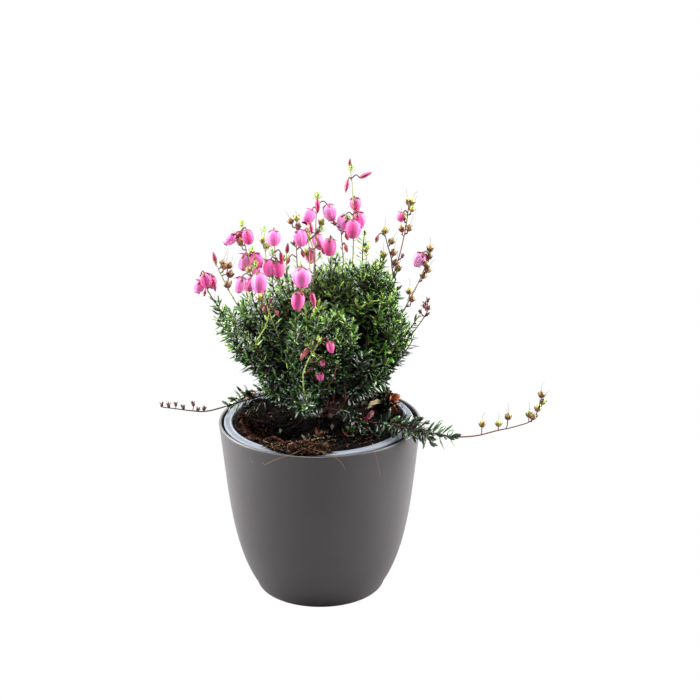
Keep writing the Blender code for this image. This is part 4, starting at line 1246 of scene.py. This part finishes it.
# Bells, buds and capsules
# A bell is an egg-shaped corolla of eight soft panels, drawn in to four small lobes that turn out. It hangs
# from a thin arched pedicel under four narrow red sepals. Buds are slim, closed and striped. A spent flower
# leaves an upright four-ribbed capsule, green above a dark foot, with a hair-fine style.
BELL_OUTLINE = (        # share of the length and of the half width, from the top over the lip to the inside
    (0, 0), (0.01, 0.30), (0.05, 0.55), (0.12, 0.76), (0.22, 0.91), (0.34, 0.985), (0.47, 1.0),
    (0.60, 0.975), (0.72, 0.90), (0.82, 0.77), (0.90, 0.62), (0.95, 0.50), (0.975, 0.46), (0.995, 0.54),
    (1.0, 0.60), (0.985, 0.55), (0.965, 0.42), (0.93, 0.46), (0.85, 0.64), (0.7, 0.82), (0.5, 0.90),
    (0.3, 0.84), (0.15, 0.58), (0.1, 0),
)
NECK_ROW = 12               # beyond this row of the outline a bell takes its darker tone, painted shade where it turns in to its mouth
INSIDE_ROW = 14             # and beyond this one that of its inside, a darker painted shade
BUD_OUTLINE = ((0, 0), (0.02, 0.42), (0.10, 0.72), (0.24, 0.95), (0.38, 1.0), (0.55, 0.92), (0.72, 0.72),
               (0.86, 0.46), (0.95, 0.24), (1.0, 0))
SEED_OUTLINE = ((0, 0), (0.03, 0.44), (0.12, 0.78), (0.28, 1.0), (0.45, 0.98), (0.62, 0.85), (0.78, 0.62),
                (0.90, 0.38), (0.97, 0.2), (1.0, 0))
BELL_ANGLES = (-2.6, 2.6, 12.0, 22.5, 33.0)     # columns of one panel, from its groove on
BUD_ANGLES = (-6, 6, 22.5)
SEED_ANGLES = (-12, 12, 34, 56)
HUSK_ANGLES = (-15, 15, 45)
petals = [
    principled("petal_light", (248, 136, 206), 0.45, 0.2),
    principled("petal_pink", (240, 112, 184), 0.45, 0.2),
    principled("petal_rose", (232, 113, 173), 0.46, 0.2),
    principled("petal_groove_shade", (232, 102, 173), 0.46, 0.2),
    principled("petal_pale", (252, 168, 228), 0.46, 0.2),
    principled("petal_inside_shade", (130, 32, 78), 0.55),
    principled("petal_magenta", (218, 80, 148), 0.46, 0.2),
    principled("bud_crimson", (166, 34, 74), 0.45),
    principled("bud_rose", (226, 102, 152), 0.45, 0.2),
    principled("seed_foot", (118, 64, 56), 0.55),
    principled("seed_green", (172, 188, 82), 0.45),
    principled("seed_olive", (146, 136, 72), 0.5),
    principled("husk_brown", (92, 56, 52), 0.7),
    principled("petal_withered", (184, 112, 98), 0.7),
]
(LIGHT, PINK, ROSE, GROOVE_SHADE, PALE, INSIDE_SHADE, MAGENTA, BUD, BUD_LIGHT, SEED_FOOT, SEED_GREEN, SEED_OLIVE, HUSK,
 WITHERED) = range(14)
# Each kind of bell: its lit panel tone, its painted shade tone for shaded panels, the top and the neck, and
# its painted shade along the grooves.
BELL_TONES = {"bell": (LIGHT, PINK, GROOVE_SHADE), "deep": (ROSE, MAGENTA, MAGENTA), "pale": (PALE, LIGHT, PINK)}
BELL_PLUMPNESS = 0.80       # width as a share of the length
BUD_PLUMPNESS = 0.36
SPENT_PLUMPNESS = 0.55
SEED_PLUMPNESS = 0.84
UP = np.array((0, 0, 1.0))


def panelled(top, axis, length, width, outline, panels, groove, angles, turn, lobes=0.0):
    """A form of rounded panels hung from a point along an axis. It gives points, triangles, and the row and
    column of each triangle."""
    side, other = across(axis)
    columns = np.radians(np.concatenate([np.array(angles) + 360 / panels * k for k in range(panels)]) + turn)
    shape = 1 - groove * (1 - np.abs(np.sin(panels / 2 * (columns - math.radians(turn)))) ** 0.6)
    points = []
    for share, wide in outline:
        flare = lobes * max(0.0, (share - 0.9) / 0.1)
        wave = 1 + flare * np.cos(4 * columns)
        inset = 1 - (1 - shape) * min(1, 4 * wide)
        radius = width / 2 * wide * inset * (1 + 0.5 * flare * np.cos(4 * columns))
        distance = length * share * (1 + 0.35 * flare * (wave - 1))
        ring = np.outer(np.cos(columns) * radius, side) + np.outer(np.sin(columns) * radius, other)
        points.append(top + ring + np.outer(np.broadcast_to(distance, len(columns)), axis))
    count = len(columns)
    triangles = rings_to_triangles(len(outline), count)[:, ::-1]
    cell = np.arange(len(triangles)) // 2
    return np.concatenate(points), triangles, cell // count, cell % count


def bell(top, axis, length, width, kind, rng):
    """A corolla in the three tones of its kind, painted light and shade: its panels lit or shaded at random,
    painted shade at its top, at its neck and along its grooves, and a darker painted shade on the inside of
    its mouth.
    """
    light, dark, line = BELL_TONES[kind]
    points, triangles, rows, columns = panelled(top, axis, length, width, BELL_OUTLINE, 8, 0.10, BELL_ANGLES,
                                                rng.uniform(0, 45), 0.22)
    panel = columns // len(BELL_ANGLES)
    # Painted light and shade: each panel takes the lit or the shaded tone at random, and alternate panels are
    # more often shaded.
    shaded_panels = rng.uniform(0, 1, 8) < np.where(np.arange(8) % 2, 0.75, 0.25)
    finish = np.where(shaded_panels[panel], dark, light)
    # Painted shade on the top row and past the neck.
    finish = np.where((rows < 1) | (rows > NECK_ROW), dark, finish)
    # Painted shade along the groove between panels.
    finish = np.where(columns % len(BELL_ANGLES) == 0, line, finish)
    # Painted shade on the inside of the mouth.
    finish = np.where(rows > INSIDE_ROW, INSIDE_SHADE, finish)
    flowers.add(points, triangles, finish)


def sepals(at, axis, length, spread, rng, count=4, kinds=(RED, WINE, WINE), curl=0.18, out=0.25):
    """Narrow pointed sepals round a flower's top, curled to follow its shoulder."""
    side, other = across(axis)
    turns = np.radians(360 / count * np.arange(count) + rng.uniform(0, 90)) + rng.normal(0, 0.12, count)
    outward = np.outer(np.cos(turns), side) + np.outer(np.sin(turns), other)
    lean = math.radians(spread)
    ways = outward * math.sin(lean) + axis * math.cos(lean)
    tops = outward * math.cos(lean) - axis * math.sin(lean)
    sizes = length * rng.uniform(0.85, 1.15, count)
    spray(bracts, at + outward * out, ways, tops, sizes, sizes * 0.23, np.full(count, curl),
          rng.choice(kinds, count), WINE)


def striped(at, axis, length, slimness, rng):
    """A slim closed form of eight rolled petals: points, triangles, and each one's row and stripe."""
    points, triangles, rows, columns = panelled(at, axis, length, length * slimness, BUD_OUTLINE, 8, 0.16,
                                                BUD_ANGLES, rng.uniform(0, 45))
    return points, triangles, rows, columns // len(BUD_ANGLES)


def beside(start, heading, reach, out, up):
    """A place beside a stalk; out and up are shares of the reach."""
    return start + compass(heading, 90) * reach * out + np.array((0, 0, reach * up))


def pedicel(start, heading, reach, lift):
    """A thin stalk that arches out and over from the main stalk. It gives its end."""
    out = compass(heading, 90)
    end = start + out * reach + UP * lift
    crest = start + out * reach * 0.62 + UP * (max(lift, 0) + 1.0 + 0.16 * reach)
    shoulder = start + out * reach * 0.22 + UP * (lift * 0.5 + 0.8)
    stalks.stalk(bend([start, shoulder, crest, end], 4), 0.42, 0.34, 6, CRIMSON)
    return end


def hanging(start, row, rng):
    """A bell, bud or spent flower under its arched pedicel."""
    kind, _, heading, reach, length, *more = row
    own = more[0] if more else {}
    lean = own.get("lean", {"bud": 10, "spent": 16}.get(kind, 15)) + rng.normal(0, 3)
    end = pedicel(start, heading, reach, own.get("lift", 0.6))
    axis = compass(heading, lean) * (1, 1, -1)
    if kind in BELL_TONES:
        width = own.get("width", length * BELL_PLUMPNESS)
        bell(end, axis, length, width, kind, rng)
        sepals(end - axis * 0.5, axis, 2.4 + width * 0.24, 82, rng, curl=0.7 - 0.5 * width / length)
        return
    slimness = BUD_PLUMPNESS if kind == "bud" else SPENT_PLUMPNESS
    points, triangles, rows, stripes = striped(end, axis, length, slimness, rng)
    if kind == "bud":
        finish = np.where(stripes % 2, BUD, BUD_LIGHT)
    else:
        finish = np.where(stripes % 3, WITHERED, BUD)
    flowers.add(points, triangles, np.where(rows < 2, SEED_FOOT, finish))
    sepals(end - axis * 0.2, axis, length * 0.36, 34, rng)


def upright(start, row, rng):
    """An upright bud or a seed capsule on a short stiff stalk."""
    kind, _, heading, reach, length = row
    tilt = 8 if reach < 1 else 22
    axis = compass(heading, tilt + rng.normal(0, 5))
    foot = beside(start, heading, reach, 0.7, 0.7)
    if reach > 0.5:
        bow = beside(start, heading, reach, 0.55, 0.15)
        stalks.stalk(bend([start, bow, foot], 4), 0.34, 0.34, 5, CRIMSON if kind == "rise" else BROWN)
    if kind == "rise":
        points, triangles, rows, stripes = striped(foot, axis, length, BUD_PLUMPNESS, rng)
        flowers.add(points, triangles, np.where(rows < 3, SEED_OLIVE, np.where(stripes % 2, BUD, HUSK)))
        sepals(foot, axis, length * 0.34, 24, rng, kinds=(GREEN, RED))
        return
    ripe = rng.uniform()
    points, triangles, rows, columns = panelled(foot, axis, length, length * SEED_PLUMPNESS, SEED_OUTLINE, 4,
                                                0.2, SEED_ANGLES, rng.uniform(0, 90))
    lower = SEED_OLIVE if ripe < 0.7 else SEED_FOOT
    upper = SEED_GREEN if ripe < 0.6 else SEED_OLIVE
    finish = np.where(rows < 2, SEED_FOOT, np.where(rows < 4, lower, upper))
    on_rib = (columns % len(SEED_ANGLES) == 0) & (rows < 8)
    flowers.add(points, triangles, np.where(on_rib, SEED_FOOT if ripe > 0.4 else SEED_OLIVE, finish))
    sepals(foot, axis, length * 0.72, 58, rng, curl=0.5, out=length * 0.15)
    tip = foot + axis * length
    style_end = tip + axis * rng.uniform(4.5, 6.5) + rng.normal(0, 0.7, 3)
    stalks.stalk(bend([tip - axis * 0.4, tip + axis * 2.6, style_end], 3), 0.12, 0.07, 3, CRIMSON)


def husk(start, row, rng):
    """A dry capsule, split into pointed valves that stand open."""
    _, _, heading, reach, length = row
    foot = beside(start, heading, reach, 0.7, 0.6)
    stalks.stalk(bend([start, (start + foot) / 2 + rng.normal(0, 0.3, 3), foot], 3), 0.32, 0.32, 5, BROWN)
    axis = compass(heading + rng.normal(0, 30), 25 + rng.normal(0, 10))
    size = length * 0.62
    points, triangles, _, _ = panelled(foot, axis, size, size, SEED_OUTLINE, 4, 0.2, HUSK_ANGLES,
                                       rng.uniform(0, 90))
    flowers.add(points, triangles, HUSK)
    sepals(foot + axis * length * 0.2, axis, length * 0.75, 42, rng, 5, (WINE, WINE, RED))


def tuft(start, row, rng):
    """A tuft of tiny pale leaves at a stalk's tip or on a short side shoot."""
    _, _, heading, reach, length = row
    foot = beside(start, heading, reach, 1, 0.8)
    if reach > 0.5:
        bow = start + (foot - start) * 0.6 - UP * 0.6
        stalks.stalk(bend([start, bow, foot], 3), 0.3, 0.3, 5, PALE_GREEN)
    count = 11
    turns = np.radians(GOLDEN_TURN * np.arange(count) + rng.uniform(0, 360))
    lean = np.linspace(14, 58, count)
    ways = np.array([compass(math.degrees(t), v) for t, v in zip(turns, lean)])
    origins = foot + np.outer(np.linspace(1.4, -1.8, count), UP)
    sizes = length * np.linspace(0.5, 0.95, count) * rng.uniform(0.85, 1.1, count)
    spray(bracts, origins, ways, np.tile(UP, (count, 1)), sizes, sizes * 0.2, np.full(count, -0.06),
          rng.choice((YOUNG, FRESH, RED), count, p=(0.6, 0.3, 0.1)), YOUNG)

flowers = Heap()
flower_rng = np.random.default_rng(29)
MAKERS = {"rise": upright, "seed": upright, "dry": husk, "tuft": tuft}
for name, rows in FLOWERS.items():
    line = stalk_lines[name][0]
    for row in rows:
        kind, below, heading = row[:3]
        spot, way = along(line, [below])
        MAKERS.get(kind, hanging)(spot[0], row, flower_rng)
        if kind != "tuft" and not name.startswith("runner"):
            size = flower_rng.uniform(2.2, 3.6)
            spray(bracts, spot, compass(heading + 25, 55)[None], -way, [size], [size * 0.18], [0.0],
                  [flower_rng.choice((FRESH, GREEN, RED))], FRESH)
hand_over(stalks.join("flower_stalks", twig_finishes), "bark", *("flower_spike_" + name for name in SPIKES),
          "flower_spike_front_low", "flower_spike_runner_right", "flower_spike_runner_left")
hand_over(flowers.join("flowers", petals), "flower")
hand_over(bracts.join("sepals_and_bracts", leaf_finishes), "leaf")

# Fallen leaves and flowers
# Withered leaves, a dropped flower and a dried one lie on the peat and on the rim. Each blade is thin and
# brittle, cupped across and curled along as it dried.
BLADE_ROWS = 9
BLADE_COLUMNS = 7
BLADE_THICKNESS = 0.14
litter_finishes = [
    principled("litter_orange", (196, 112, 62), 0.6),
    principled("litter_beige", (198, 180, 142), 0.65),
    principled("litter_crimson", (160, 50, 74), 0.5),
    principled("litter_green", (92, 140, 60), 0.35),
    principled("litter_brown", (136, 82, 54), 0.7),
]
ORANGE, BEIGE, DROPPED, LEAF_GREEN, DRIED = range(5)
LITTER = (      # X, Y, length, half width, heading, how far it stands up, curl, finish
    (-50, 33, 8, 3.2, 20, 70, 0.6, ORANGE),
    (-47, 36, 8, 3.0, 200, 60, 0.9, ORANGE),
    (48, 25, 10, 3.2, 285, 50, 1.0, ORANGE),
    (49, 19, 8, 2.8, 110, 35, 1.2, ORANGE),
    (49, 9, 8, 2.4, 250, 20, 1.1, ORANGE),
    (31, 24, 10, 4.2, 10, 50, 0.3, BEIGE),
    (30, 49, 9, 4.4, 60, 60, 0.3, BEIGE),
    (25, 8, 7, 3.2, 200, 40, 1.1, DROPPED),
    (30, 8, 7, 3.4, 20, 45, 0.9, DROPPED),
    (28, 5, 6, 3.0, 280, 30, 1.2, DROPPED),
    (19, -13, 6.6, 3.3, 80, 30, 0.1, LEAF_GREEN),
    (0, -11, 4.2, 1.1, 50, 60, 1.4, DRIED),
    (-1, -12, 4.4, 0.9, 150, 50, 1.5, DRIED),
    (1, -13, 4.0, 1.2, 330, 35, 1.3, DRIED),
    (2, -11, 3.8, 1.0, 10, 70, 1.6, DRIED),
    (-2, -10, 4.0, 1.0, 95, 40, 1.2, ORANGE),
    (0.5, -13, 4.4, 0.8, 250, 30, 1.5, DRIED),
    (16, -15, 7, 1.4, 330, 20, 1.2, DRIED),
    (19, -19, 8, 1.2, 200, 30, 1.3, DRIED),
    (7.6, -8.3, 5, 1.0, 80, 75, 0.3, BEIGE),
    (-8, -15, 5, 1.2, 150, 40, 0.8, BEIGE),
    (-26, 1, 6, 1.0, 80, 60, 0.2, LEAF_GREEN),
)


def curled_leaf(x, y, length, half_width, heading, stand, curl):
    """A thin dry blade, cupped across, curled along and a little crumpled: its upper sheet, its lower one
    and the edge between them."""
    points = []
    for side in (0.0, -BLADE_THICKNESS):
        for t in np.linspace(0, 1, BLADE_ROWS):
            wide = half_width * math.sin(math.pi * (0.05 + 0.93 * t))
            angle = math.radians(stand) * (1 - t) + curl * 2.2 * (t - 0.3)
            for s in np.linspace(-1, 1, BLADE_COLUMNS):
                rough = half_width * 0.3 * noise.noise(Vector((x + 5 * t, y + 2.4 * s, 5)))
                points.append((length * t * math.cos(angle * 0.5), wide * s,
                               length * t * math.sin(angle) * 0.8 + 0.5 * wide * s * s + rough + side))
    points = np.array(points)
    turn = math.radians(heading)
    turned_x = points[:, 0] * math.cos(turn) - points[:, 1] * math.sin(turn)
    turned_y = points[:, 0] * math.sin(turn) + points[:, 1] * math.cos(turn)
    base = peat_height(x, y) + 0.9 if math.hypot(x, y) < 55 else INNER_RIM_HEIGHT
    points = np.column_stack([turned_x + x, turned_y + y, points[:, 2] + base])
    grid = np.arange(BLADE_ROWS * BLADE_COLUMNS).reshape(BLADE_ROWS, BLADE_COLUMNS)
    a, b, c, d = (g.ravel() for g in (grid[:-1, :-1], grid[1:, :-1], grid[1:, 1:], grid[:-1, 1:]))
    sheet = np.stack([a, b, c, a, c, d], axis=1).reshape(-1, 3)
    edge = np.concatenate([grid[0], grid[1:, -1], grid[-1, -2::-1], grid[-2:0:-1, 0]])
    after = np.roll(edge, -1)
    rim = np.concatenate([np.stack([edge, after, after + grid.size], axis=1),
                          np.stack([edge, after + grid.size, edge + grid.size], axis=1)])
    return points, np.concatenate([sheet[:, ::-1], sheet + grid.size, rim[:, ::-1]])


litter = Heap()
for *blade, finish in LITTER:
    litter.add(*curled_leaf(*blade), finish)
hand_over(litter.join("fallen_leaves", litter_finishes), "leaf")
